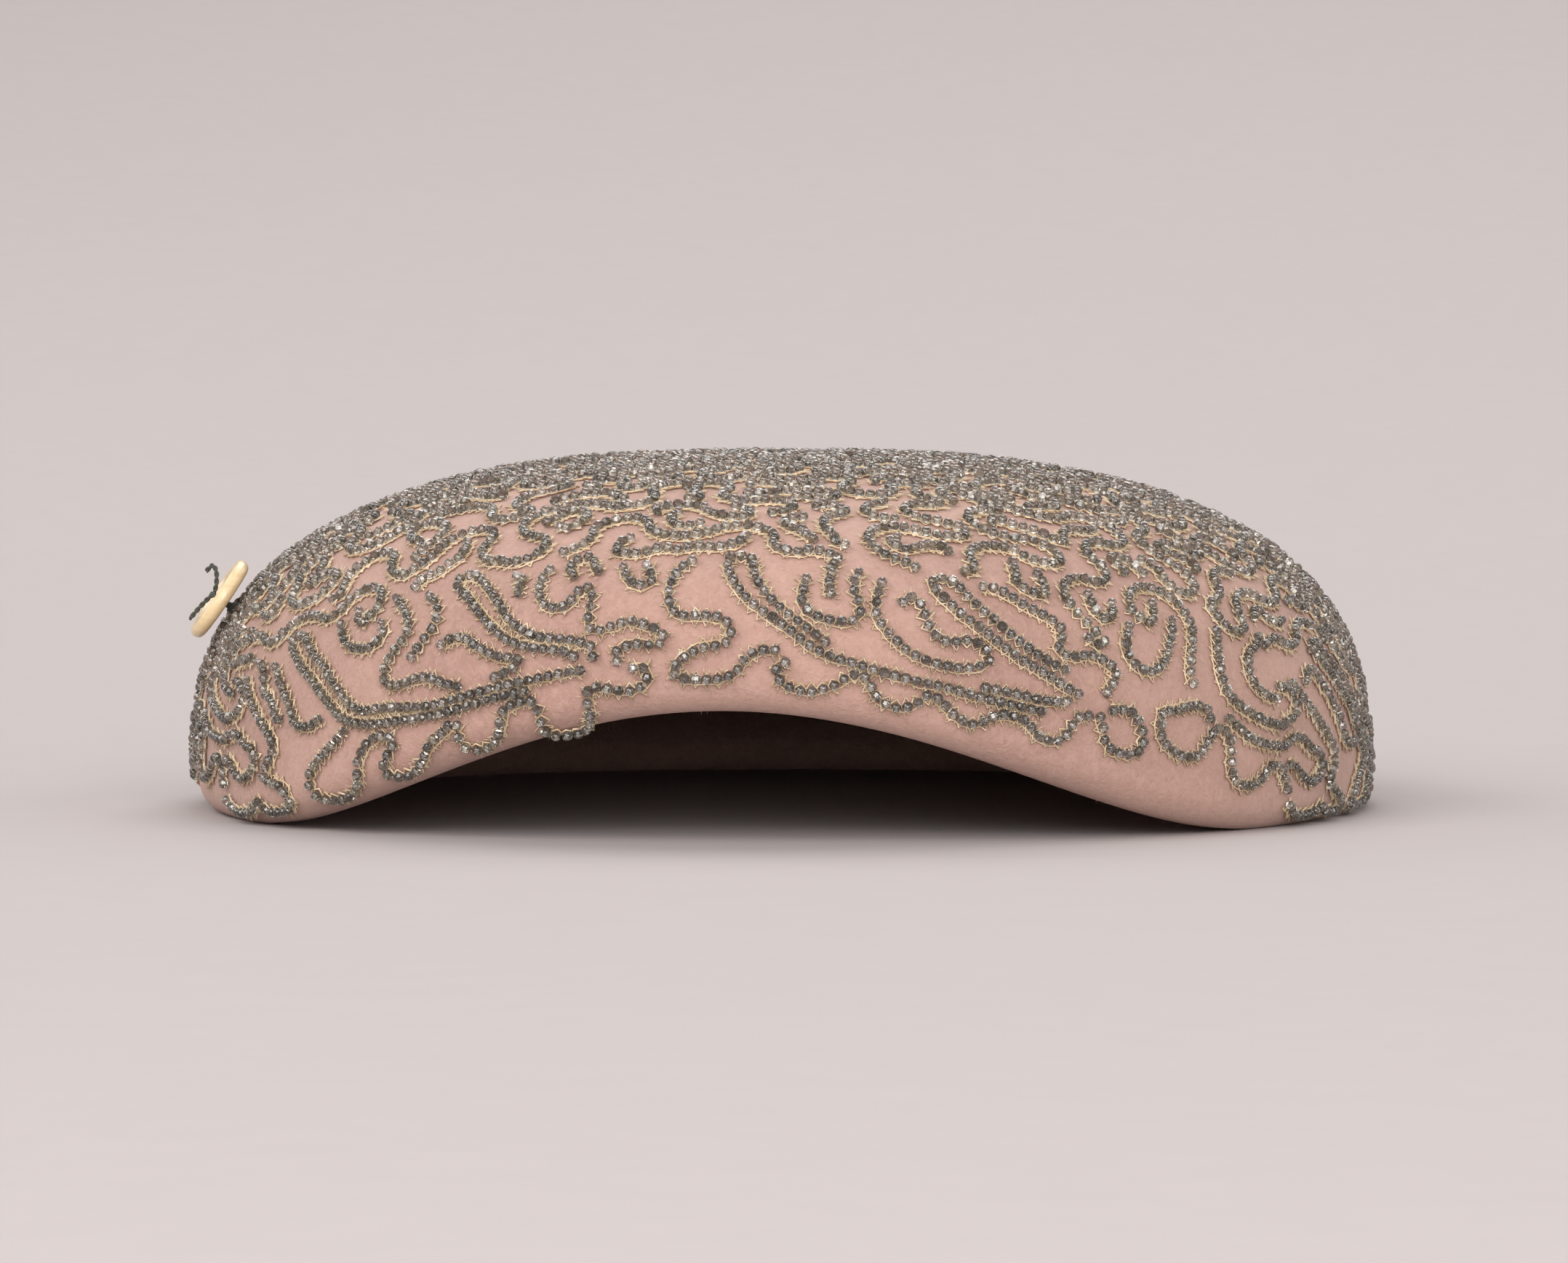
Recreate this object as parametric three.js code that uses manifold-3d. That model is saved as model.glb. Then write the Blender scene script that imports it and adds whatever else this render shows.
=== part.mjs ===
// A small felt cocktail hat of the 1950s, resting on its rim: a domed shell of wool felt whose
// edge is turned under, an inner felt band for the head, a ribbon sewn inside that band, and a
// button held off the felt by its thread. Millimetres, +Z up, the front of the hat towards -Y,
// the wearer's left towards +X. The origin is on the table, under the middle of the hat.

import * as THREE from 'three';
import { mergeVertices } from 'three/addons/utils/BufferGeometryUtils.js';
import Module from 'manifold-3d';

const wasm = await Module();
wasm.setup();

// Felt shell
const SHELL_HALF_WIDTH = 130;
const SHELL_HALF_LENGTH = 140;
const SHELL_HEIGHT = 77.5;
const SHELL_PLAN_EXPONENT = 2.12;
const SHELL_WALL_EXPONENT = 2.68;
const CROWN_LEAN = 7.5;
const FELT = 2.4;
const RIM_ROLL = 7;
const RIM_HEM_HEIGHT = 20;
const RIM_HEM_INSET = 7.2;
const FRONT_ARCH_RISE = 28;
const FRONT_ARCH_SPREAD = THREE.MathUtils.degToRad(59);

// Head band, measured at the outermost line of its rolled edge
const BAND_HALF_WIDTH = 100.5;
const BAND_BACK_LENGTH = 60;
const BAND_FRONT_LENGTH = 113;
const BAND_BACK_EXPONENT = 2.8;
const BAND_FRONT_EXPONENT = 2.05;
const BAND_CENTRE_Y = 35;
const BAND_EDGE_HEIGHT = 17;
const BAND_WALL_HEIGHT = 62;
const BAND_WALL_LEAN = 9;
const BAND_FELT = 2.2;
const BAND_ROLL = 4.2;
const BAND_HEM_HEIGHT = 11;
const BAND_HEM_INSET = 1;
const EDGE_RISE_FROM_Y = 20;
const EDGE_RISE = 4;
const EDGE_RISE_RUN = 20;
const EDGE_RISE_POWER = 1.8;

// Ribbon inside the head band
const RIBBON_WIDTH = 24;
const RIBBON_THICKNESS = 1;
const RIBBON_ABOVE_EDGE = 4.5;
const RIBBON_STAND_OFF = 2.5;

// Where the ribbon's free edge buckles off the band: turn and spread in degrees round it, depth in mm
const RIBBON_BUCKLES = [
  { turn: 124, spread: 16, depth: 9 },
  { turn: -121, spread: 17, depth: 5 },
  { turn: 82, spread: 12, depth: 2.5 },
  { turn: -76, spread: 14, depth: 3 },
  { turn: 178, spread: 22, depth: 2 },
];

// Button and its thread
const BUTTON_RADIUS = 10;
const BUTTON_THICKNESS = 3.2;
const BUTTON_BACK_FLAT = 6;
const BUTTON_EDGE_ANGLES = [-70, -35, 0, 35, 70];
const BUTTON_DISH_RADIUS = 6.2;
const BUTTON_DISH_FLOOR = 5;
const BUTTON_DISH_DEPTH = 0.8;
const BUTTON_STANDOFF = 3.8;
const BUTTON_TURN = THREE.MathUtils.degToRad(-75.5);
const BUTTON_WALL_ANGLE = THREE.MathUtils.degToRad(25);
const SEW_HOLE_RADIUS = 1;
const SEW_HOLE_SPACING = 4;
const THREAD_RADIUS = 0.55;
const SHANK_RADIUS = 1.3;
const SHANK_HEAD_RADIUS = 2.8;
const SHANK_HEAD_THICKNESS = 1.4;

// Clearance between pieces that touch on the real hat
const SEAT_GAP = 0.3;

// Fineness of the facets
const TURN_STEPS = 64;
const WALL_STEPS = 10;
const WALL_STEP_BIAS = 1.25;
const BAND_WALL_STEPS = 4;
const RIBBON_STEPS = 4;
const BUTTON_SIDES = 28;
const PIN_SIDES = 10;
const STRAND_SIDES = 4;
const STRAND_STEPS = 4;
const TURN_NUDGE = 0.02;
const SAME_CORNER = 1e-4;

// Angles, in degrees, at which an edge roll has its corners: two of them share the flat under it
const ROLL_ANGLES = [25, 50, 75, 105, 130, 155, 180];
const FLAT_ANGLE = THREE.MathUtils.degToRad(75);
const HEM_EDGE_ROUND = 0.35;

const felt = new THREE.MeshStandardMaterial({ color: 0xc39a8c, roughness: 0.95, metalness: 0 });
const ribbonCloth = new THREE.MeshStandardMaterial({ color: 0xa9805f, roughness: 0.7, metalness: 0 });
const ivory = new THREE.MeshStandardMaterial({ color: 0xdcc795, roughness: 0.35, metalness: 0 });
const darkThread = new THREE.MeshStandardMaterial({ color: 0x35352f, roughness: 0.8, metalness: 0 });

/** A point of a unit oval; the turn is 0 at the front and grows towards the wearer's left. */
function oval(turn, exponent) {
  const across = Math.sin(turn);
  const along = -Math.cos(turn);
  const sum = Math.abs(across) ** exponent + Math.abs(along) ** exponent;
  const reach = sum ** (-1 / exponent);
  return new THREE.Vector2(across * reach, along * reach);
}

/** How far the front edge of the shell is lifted off the table. */
function frontArch(turn) {
  if (Math.abs(turn) >= FRONT_ARCH_SPREAD) {
    return 0;
  }
  const across = Math.cos((Math.PI / 2) * (turn / FRONT_ARCH_SPREAD));
  return FRONT_ARCH_RISE * across * across;
}

const MEAN_RADIUS = (SHELL_HALF_WIDTH + SHELL_HALF_LENGTH) / 2;
const RIM_CENTRE = RIM_ROLL * Math.sin(FLAT_ANGLE);

/** Moulds a point of the round shell to its oval plan, leaning crown and arched front. */
function mouldShell(point) {
  const turn = Math.atan2(point.x, -point.y);
  const share = Math.hypot(point.x, point.y) / MEAN_RADIUS;
  const plan = oval(turn, SHELL_PLAN_EXPONENT);
  const risen = (point.z - RIM_CENTRE) / (SHELL_HEIGHT - RIM_CENTRE);
  const climb = THREE.MathUtils.clamp(risen, 0, 1);
  const x = SHELL_HALF_WIDTH * share * plan.x;
  const y = SHELL_HALF_LENGTH * share * plan.y - CROWN_LEAN * climb * climb;
  const z = point.z + frontArch(turn) * (1 - climb);
  return point.set(x, y, z);
}

/** A point of the shell's outer face before moulding, as inset from the widest line and height. */
function shellFacePoint(wallAngle) {
  const power = 2 / SHELL_WALL_EXPONENT;
  const share = Math.cos(wallAngle) ** power;
  const climb = Math.sin(wallAngle) ** power;
  const height = RIM_CENTRE + (SHELL_HEIGHT - RIM_CENTRE) * climb;
  return new THREE.Vector2(MEAN_RADIUS * (1 - share), height);
}

/** The outer face of the shell's wall, from the top of the crown down to the widest line. */
function shellWallFace() {
  const face = [new THREE.Vector2(MEAN_RADIUS, SHELL_HEIGHT)];
  for (let step = WALL_STEPS - 1; step >= 0; step -= 1) {
    const wallAngle = (Math.PI / 2) * (step / WALL_STEPS) ** WALL_STEP_BIAS;
    face.push(shellFacePoint(wallAngle));
  }
  return face;
}

/** Continues a wall's face round its rolled edge, whose lowest line is at height 0, and up the hem. */
function turnUnder(wallFace, roll, hemInset, hemHeight) {
  const face = [...wallFace];
  const centre = roll * Math.sin(FLAT_ANGLE);
  for (const degrees of ROLL_ANGLES) {
    const angle = THREE.MathUtils.degToRad(degrees);
    face.push(new THREE.Vector2(roll - roll * Math.cos(angle), centre - roll * Math.sin(angle)));
  }
  const last = face[face.length - 1];
  const hem = new THREE.Vector2(hemInset, hemHeight);
  face.push(new THREE.Vector2().lerpVectors(last, hem, 0.5));
  face.push(hem);
  return face;
}

/** Moves a face square to itself by a distance, towards the side that the roll closes on. */
function offsetFace(face, distance) {
  return face.map((point, i) => {
    const before = face[Math.max(i - 1, 0)];
    const after = face[Math.min(i + 1, face.length - 1)];
    const run = new THREE.Vector2().subVectors(after, before).normalize();
    return new THREE.Vector2(point.x - run.y * distance, point.y + run.x * distance);
  });
}

/** Cleans a geometry into one closed mesh that shares its corners and has no empty triangles. */
function closed(geometry) {
  geometry.deleteAttribute('normal');
  geometry.deleteAttribute('uv');
  const merged = mergeVertices(geometry, SAME_CORNER);
  const corners = merged.index.array;
  const kept = [];
  for (let i = 0; i < corners.length; i += 3) {
    const [a, b, c] = corners.slice(i, i + 3);
    if (a !== b && b !== c && c !== a) {
      kept.push(a, b, c);
    }
  }
  merged.setIndex(kept);
  return merged;
}

/** Turns a closed profile of (radius, height) points about the Z axis. */
function turned(profile, steps) {
  const geometry = new THREE.LatheGeometry(profile, steps);
  geometry.rotateX(Math.PI / 2);
  return closed(geometry);
}

/** Moves every corner of a geometry by a moulding function. */
function moulded(geometry, mould) {
  const positions = geometry.attributes.position;
  const point = new THREE.Vector3();
  for (let i = 0; i < positions.count; i += 1) {
    point.fromBufferAttribute(positions, i);
    mould(point);
    positions.setXYZ(i, point.x, point.y, point.z);
  }
  return geometry;
}

/** A closed geometry as a solid for joining and cutting. */
function solid(geometry) {
  const vertProperties = new Float32Array(geometry.attributes.position.array);
  const triVerts = new Uint32Array(geometry.index.array);
  return new wasm.Manifold(new wasm.Mesh({ numProp: 3, vertProperties, triVerts }));
}

/** A joined or cut solid back as a geometry. */
function geometryOf(body) {
  const mesh = body.getMesh();
  const geometry = new THREE.BufferGeometry();
  geometry.setAttribute('position', new THREE.BufferAttribute(mesh.vertProperties, 3));
  geometry.setIndex(new THREE.BufferAttribute(mesh.triVerts, 1));
  return geometry;
}

/** Closes two faces of a felt wall into one profile, with its hem's edge rounded over. */
function wallProfile(front, back, toRadius) {
  const frontEnd = front[front.length - 1];
  const backEnd = back[back.length - 1];
  const edge = new THREE.Vector2().lerpVectors(frontEnd, backEnd, 0.5);
  edge.y += HEM_EDGE_ROUND * frontEnd.distanceTo(backEnd);
  const outline = [...front, edge, ...back.slice().reverse()];
  return outline.map((point) => new THREE.Vector2(toRadius(point.x), point.y));
}

const shellRadius = (inset) => MEAN_RADIUS - inset;
const wallFace = shellWallFace();

/** The felt dome with its edge turned under all round. */
function feltShell() {
  const outer = turnUnder(wallFace, RIM_ROLL, RIM_HEM_INSET, RIM_HEM_HEIGHT);
  const inner = offsetFace(outer, FELT);
  inner[0].set(MEAN_RADIUS, SHELL_HEIGHT - FELT);
  const profile = wallProfile(outer, inner, shellRadius);
  return moulded(turned(profile.reverse(), TURN_STEPS), mouldShell);
}

/** The room inside the shell's wall, which trims what is sewn against it. */
function roomUnderShell() {
  const ceiling = offsetFace(wallFace, FELT + SEAT_GAP);
  ceiling[0].set(MEAN_RADIUS, SHELL_HEIGHT - FELT - SEAT_GAP);
  const side = ceiling[ceiling.length - 1];
  const floor = [new THREE.Vector2(side.x, 0), new THREE.Vector2(MEAN_RADIUS, 0)];
  const profile = [...ceiling, ...floor].map((p) => new THREE.Vector2(shellRadius(p.x), p.y));
  return moulded(turned(profile.reverse(), TURN_STEPS), mouldShell);
}

/** A point of the line that the outermost side of the band's rolled edge follows, seen from above. */
function bandLine(turn) {
  const behind = Math.cos(turn) < 0;
  const plan = oval(turn, behind ? BAND_BACK_EXPONENT : BAND_FRONT_EXPONENT);
  const length = behind ? BAND_BACK_LENGTH : BAND_FRONT_LENGTH;
  return new THREE.Vector2(BAND_HALF_WIDTH * plan.x, BAND_CENTRE_Y + length * plan.y);
}

/** Moulds a point of a round band to the head's outline, its edge climbing into the crown in front. */
function mouldBand(point) {
  const turn = Math.atan2(point.x, -point.y);
  const outset = Math.hypot(point.x, point.y) - BAND_HALF_WIDTH;
  const place = bandLine(turn);
  const run = bandLine(turn + TURN_NUDGE).sub(bandLine(turn - TURN_NUDGE)).normalize();
  const forward = Math.max(EDGE_RISE_FROM_Y - place.y, 0) / EDGE_RISE_RUN;
  const x = place.x + run.y * outset;
  const y = place.y - run.x * outset;
  const z = point.z + BAND_EDGE_HEIGHT + EDGE_RISE * forward ** EDGE_RISE_POWER;
  return point.set(x, y, z);
}

const BAND_ROLL_CENTRE = BAND_ROLL * Math.sin(FLAT_ANGLE);

/** How far the band's wall leans towards the head at a height above its edge, as a negative depth. */
function bandLean(height) {
  const climb = (height - BAND_ROLL_CENTRE) / (BAND_WALL_HEIGHT - BAND_ROLL_CENTRE);
  return -BAND_WALL_LEAN * climb * climb;
}

/** The head side of the band's wall, from its top down to the roll. */
function bandWallFace() {
  const face = [];
  for (let step = BAND_WALL_STEPS; step >= 0; step -= 1) {
    const height = THREE.MathUtils.lerp(BAND_ROLL_CENTRE, BAND_WALL_HEIGHT, step / BAND_WALL_STEPS);
    face.push(new THREE.Vector2(bandLean(height), height));
  }
  return face;
}

const bandRadius = (depth) => BAND_HALF_WIDTH - 2 * BAND_ROLL + depth;

/** The inner felt wall that sits on the head, its lower edge turned out in a soft roll. */
function headBand() {
  const hemInset = 2 * BAND_ROLL - BAND_HEM_INSET;
  const headSide = turnUnder(bandWallFace(), BAND_ROLL, hemInset, BAND_HEM_HEIGHT);
  const shellSide = offsetFace(headSide, BAND_FELT);
  const profile = wallProfile(headSide, shellSide, bandRadius);
  profile.push(profile[0].clone());
  const ring = solid(moulded(turned(profile, TURN_STEPS), mouldBand));
  return geometryOf(ring.intersect(solid(roomUnderShell())));
}

/** How far the ribbon's free edge stands off the band at a turn. */
function ribbonStandOff(turn) {
  let standOff = RIBBON_STAND_OFF;
  for (const buckle of RIBBON_BUCKLES) {
    const past = THREE.MathUtils.radToDeg(turn) - buckle.turn;
    const share = (THREE.MathUtils.euclideanModulo(past + 180, 360) - 180) / buckle.spread;
    standOff += buckle.depth * Math.exp(-share * share);
  }
  return standOff;
}

/** Moulds a point of a round ribbon to the band, its upper edge standing off in buckles. */
function mouldRibbon(point) {
  const turn = Math.atan2(point.x, -point.y);
  const climb = (point.z - RIBBON_ABOVE_EDGE) / RIBBON_WIDTH;
  const radius = Math.hypot(point.x, point.y);
  const shrink = 1 - (ribbonStandOff(turn) * climb * climb) / radius;
  point.x *= shrink;
  point.y *= shrink;
  return mouldBand(point);
}

/** The ribbon sewn along the band's edge; its upper edge is free. */
function sweatRibbon() {
  const near = [];
  for (let step = 0; step <= RIBBON_STEPS; step += 1) {
    const height = RIBBON_ABOVE_EDGE + RIBBON_WIDTH * (step / RIBBON_STEPS);
    near.push(new THREE.Vector2(bandRadius(bandLean(height) - SEAT_GAP), height));
  }
  const far = near.map((point) => new THREE.Vector2(point.x - RIBBON_THICKNESS, point.y)).reverse();
  const profile = [...near, ...far, near[0].clone()];
  const ring = solid(moulded(turned(profile, TURN_STEPS), mouldRibbon));
  return geometryOf(ring.intersect(solid(roomUnderShell())));
}

/** A point on the shell's outer face, moulded. */
function shellPoint(turn, wallAngle) {
  const face = shellFacePoint(wallAngle);
  const radius = shellRadius(face.x);
  return mouldShell(new THREE.Vector3(radius * Math.sin(turn), -radius * Math.cos(turn), face.y));
}

/** The place of the button's thread on the felt, with its Z axis square to the felt. */
function buttonSeat() {
  const centre = shellPoint(BUTTON_TURN, BUTTON_WALL_ANGLE);
  const aside = shellPoint(BUTTON_TURN + TURN_NUDGE, BUTTON_WALL_ANGLE).sub(centre);
  const up = shellPoint(BUTTON_TURN, BUTTON_WALL_ANGLE + TURN_NUDGE).sub(centre);
  const out = new THREE.Vector3().crossVectors(aside, up).normalize();
  const across = aside.normalize();
  const along = new THREE.Vector3().crossVectors(out, across);
  const seat = new THREE.Group();
  seat.position.copy(centre);
  seat.setRotationFromMatrix(new THREE.Matrix4().makeBasis(across, along, out));
  return seat;
}

/** A straight round pin along Z between two heights, at a place across the button. */
function pin(radius, bottom, top, x) {
  const geometry = new THREE.CylinderGeometry(radius, radius, top - bottom, PIN_SIDES);
  geometry.rotateX(Math.PI / 2);
  geometry.translate(x, 0, (top + bottom) / 2);
  return solid(closed(geometry));
}

const holePlaces = [-SEW_HOLE_SPACING / 2, SEW_HOLE_SPACING / 2];
const buttonFloor = BUTTON_THICKNESS - BUTTON_DISH_DEPTH;

/** The button: a disc with a round edge, dished in front, with two sewing holes. */
function button() {
  const edge = BUTTON_THICKNESS / 2;
  const outline = [new THREE.Vector2(0, 0), new THREE.Vector2(BUTTON_BACK_FLAT, 0)];
  for (const degrees of BUTTON_EDGE_ANGLES) {
    const angle = THREE.MathUtils.degToRad(degrees);
    const radius = BUTTON_RADIUS - edge + edge * Math.cos(angle);
    outline.push(new THREE.Vector2(radius, edge + edge * Math.sin(angle)));
  }
  outline.push(new THREE.Vector2(BUTTON_DISH_RADIUS + edge, BUTTON_THICKNESS));
  outline.push(new THREE.Vector2(BUTTON_DISH_RADIUS, BUTTON_THICKNESS - BUTTON_DISH_DEPTH / 2));
  outline.push(new THREE.Vector2(BUTTON_DISH_FLOOR, buttonFloor));
  outline.push(new THREE.Vector2(0, buttonFloor));
  let body = solid(turned(outline, BUTTON_SIDES));
  for (const x of holePlaces) {
    body = body.subtract(pin(SEW_HOLE_RADIUS, -1, BUTTON_THICKNESS + 1, x));
  }
  const geometry = geometryOf(body);
  geometry.translate(0, 0, BUTTON_STANDOFF);
  return geometry;
}

/** A round thread along a smooth path; each point is across, along and above the button's floor. */
function strand(points) {
  const section = new THREE.Shape();
  section.absarc(0, 0, THREAD_RADIUS, 0, 2 * Math.PI);
  const lift = BUTTON_STANDOFF + buttonFloor;
  const path = points.map(({ across, along, above }) => new THREE.Vector3(across, along, lift + above));
  const extrudePath = new THREE.CatmullRomCurve3(path);
  const steps = STRAND_STEPS * (path.length - 1);
  const geometry = new THREE.ExtrudeGeometry(section, { steps, curveSegments: STRAND_SIDES, extrudePath });
  return solid(closed(geometry));
}

/** The thread: a wrapped shank under the button, a stitch through it and a loose loop on its face. */
function buttonThread() {
  const head = BUTTON_STANDOFF - SEAT_GAP;
  const [left, right] = holePlaces;
  const over = SEAT_GAP + THREAD_RADIUS;
  const under = -buttonFloor - SEAT_GAP - SHANK_HEAD_THICKNESS / 2;
  const stitch = [
    { across: left, along: 0, above: under },
    { across: left, along: 0, above: over },
    { across: 0, along: 0, above: over + 0.3 },
    { across: right, along: 0, above: over },
    { across: right, along: 0, above: under },
  ];
  const loop = [
    { across: 0, along: 0, above: over },
    { across: 0.8, along: 2.2, above: over + 0.8 },
    { across: 0.4, along: 4.6, above: over + 2.4 },
    { across: -0.6, along: 5.2, above: over + 3.8 },
    { across: -1.4, along: 3.4, above: over + 4.2 },
  ];
  const tail = [
    { across: 0, along: 0, above: over },
    { across: -0.6, along: -3.2, above: over + 0.8 },
    { across: 0.4, along: -7.4, above: over + 1.3 },
  ];
  const strands = [stitch, loop, tail].map(strand);
  const shank = pin(SHANK_RADIUS, SEAT_GAP, head, 0);
  const shankHead = pin(SHANK_HEAD_RADIUS, head - SHANK_HEAD_THICKNESS, head, 0);
  return geometryOf(strands.reduce((body, next) => body.add(next), shank.add(shankHead)));
}

/** A named piece. */
function piece(name, geometry, material) {
  geometry.computeVertexNormals();
  const mesh = new THREE.Mesh(geometry, material);
  mesh.name = name;
  return mesh;
}

const hat = new THREE.Group();
hat.add(piece('felt_shell', feltShell(), felt));
hat.add(piece('head_band', headBand(), felt));
hat.add(piece('sweat_ribbon', sweatRibbon(), ribbonCloth));

const seat = buttonSeat();
seat.add(piece('button', button(), ivory));
seat.add(piece('button_thread', buttonThread(), darkThread));
hat.add(seat);

export default hat;
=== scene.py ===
# %% [markdown]
# # A felt cocktail hat with beaded scrolls
# The hat is a low dome of pale mauve wool felt. Its edge is turned under in a soft roll and arched up
# in front. Rows of smoky glass beads, each with a pale gold thread beside it, run over the dome in
# scrolls. Inside hangs a felt band with a ribbon, and a cream button is sewn to one side.
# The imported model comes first: every piece below is made in its frame. The hat's sizes are in millimetres,
# and MM turns them into the frame's metres. The camera, the floor and the lights are placed in metres.

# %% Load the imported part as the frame
import math

import bpy
import numpy as np
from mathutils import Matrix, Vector
from mathutils.bvhtree import BVHTree


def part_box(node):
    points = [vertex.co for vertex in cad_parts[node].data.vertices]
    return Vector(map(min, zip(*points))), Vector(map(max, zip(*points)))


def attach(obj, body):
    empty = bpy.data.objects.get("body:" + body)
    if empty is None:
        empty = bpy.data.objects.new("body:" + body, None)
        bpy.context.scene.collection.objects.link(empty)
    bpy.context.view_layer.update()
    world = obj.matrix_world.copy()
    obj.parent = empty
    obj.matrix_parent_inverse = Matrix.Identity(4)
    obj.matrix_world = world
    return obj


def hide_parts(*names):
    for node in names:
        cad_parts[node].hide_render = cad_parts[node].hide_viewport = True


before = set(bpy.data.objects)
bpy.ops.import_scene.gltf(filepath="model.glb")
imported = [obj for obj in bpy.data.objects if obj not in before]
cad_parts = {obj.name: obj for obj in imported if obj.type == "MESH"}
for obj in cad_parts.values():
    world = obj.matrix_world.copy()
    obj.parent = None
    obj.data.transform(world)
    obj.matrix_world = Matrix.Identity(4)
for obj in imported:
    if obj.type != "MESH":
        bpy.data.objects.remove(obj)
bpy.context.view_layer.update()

MM = 0.001


def add_object(name, data):
    """A new object in the scene that holds a camera, a lamp or a mesh."""
    made = bpy.data.objects.new(name, data)
    bpy.context.scene.collection.objects.link(made)
    return made


def point_along(thing, way):
    """Turns a camera or a lamp to look along a direction, upright."""
    thing.rotation_euler = way.to_track_quat("-Z", "Y").to_euler()


# %% [markdown]
# ## Camera
# A camera could be placed by eye, but a fitted one can be explained. The hat is seen from its front,
# turned a few degrees, through a long lens from nearly two metres away, which keeps its two sides
# nearly parallel. A worn hat is seen from below; one that rests on a table is seen from just above it.

# %% Camera
VIEW_TURN = math.radians(5.3)
VIEW_RISE = math.radians(2.5)
CAMERA_DISTANCE = 1.9
HAT_SHARE_OF_WIDTH = 0.74

hat_low, hat_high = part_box("felt_shell")
hat_centre = (hat_low + hat_high) / 2
view_way = Vector((
    math.sin(VIEW_TURN) * math.cos(VIEW_RISE),
    -math.cos(VIEW_TURN) * math.cos(VIEW_RISE),
    math.sin(VIEW_RISE),
))
camera_data = bpy.data.cameras.new("camera")
hat_width = hat_high.x - hat_low.x
camera_data.lens = camera_data.sensor_width * CAMERA_DISTANCE * HAT_SHARE_OF_WIDTH / hat_width
camera = add_object("camera", camera_data)
camera.location = hat_centre + view_way * CAMERA_DISTANCE
point_along(camera, -view_way)
bpy.context.scene.camera = camera
print(f"lens {camera_data.lens:.0f} mm")

# %% [markdown]
# ## Writing finishes as sums
# A material is a graph of nodes. Drawing it by hand hides the sum it works out, so a small class wraps
# a socket: adding or multiplying two of them adds a Math node. Every other node comes from one method
# that is given the node's type, its settings and its sockets.

# %% A socket that can be added and multiplied, and a finish that holds the nodes


class Value:
    """One output of a node in a finish."""

    def __init__(self, finish, socket):
        self.finish = finish
        self.socket = socket

    def math(self, operation, first, second):
        return self.finish.node("ShaderNodeMath", {"operation": operation}, {0: first, 1: second})

    def __add__(self, other):
        return self.math("ADD", self, other)

    def __rsub__(self, other):
        return self.math("SUBTRACT", other, self)

    def __mul__(self, other):
        return self.math("MULTIPLY", self, other)

    __radd__ = __add__


class Finish:
    """A material whose nodes are added one by one."""

    def __init__(self, name):
        self.material = bpy.data.materials.new(name)
        self.material.use_nodes = True
        self.tree = self.material.node_tree
        self.tree.nodes.clear()

    def node(self, kind, settings=None, sockets=None, out=0):
        made = self.tree.nodes.new(kind)
        for key, value in (settings or {}).items():
            if key == "stops":
                for stop, (place, shade) in zip(made.color_ramp.elements, value):
                    stop.position = place
                    stop.color = (shade, shade, shade, 1)
            else:
                setattr(made, key, value)
        for key, value in (sockets or {}).items():
            if isinstance(value, Value):
                self.tree.links.new(value.socket, made.inputs[key])
            else:
                made.inputs[key].default_value = value
        return Value(self, made.outputs[out]) if made.outputs else None

    def place(self):
        """Where a point of the piece is, in metres."""
        return self.node("ShaderNodeTexCoord", out="Object")

    def point_value(self, name):
        """The number that set_values gave each point."""
        return self.node("ShaderNodeAttribute", {"attribute_name": name}, out="Fac")

    def noise(self, per_metre, detail, roughness=0.5, place=None, distortion=0.0):
        sockets = {
            "Vector": place or self.place(),
            "Scale": per_metre,
            "Detail": detail,
            "Roughness": roughness,
            "Distortion": distortion,
        }
        return self.node("ShaderNodeTexNoise", {}, sockets)

    def stretched(self, scales):
        """The place, stretched along its axes."""
        sockets = {0: self.place(), 1: scales}
        return self.node("ShaderNodeVectorMath", {"operation": "MULTIPLY"}, sockets)

    def sharpen(self, value, low, high):
        """A value spread so that low becomes 0 and high becomes 1."""
        return self.node("ShaderNodeValToRGB", {"stops": [(low, 0.0), (high, 1.0)]}, {"Fac": value})

    def tint(self, amount, first, second):
        """A colour between two colours."""
        sockets = {0: amount, 6: first, 7: second}
        return self.node("ShaderNodeMix", {"data_type": "RGBA"}, sockets, out=2)

    def bump(self, height, depth, strength):
        sockets = {"Height": height, "Distance": depth, "Strength": strength}
        return self.node("ShaderNodeBump", {}, sockets)

    def surface(self, **sockets):
        named = {key.replace("_", " "): value for key, value in sockets.items()}
        shader = self.node("ShaderNodeBsdfPrincipled", {}, named)
        self.node("ShaderNodeOutputMaterial", {}, {"Surface": shader})
        return self.material


def colour(red, green, blue):
    return (red, green, blue, 1.0)


# %% [markdown]
# ## Meshes from arrays
# Thousands of beads and fibres are too many for one object each. Their points and faces are worked out
# as arrays and become a handful of joined meshes. A piece is hung on the part's only body, and told
# which finish it takes.

# %% Make a piece from arrays of points and faces


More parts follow.
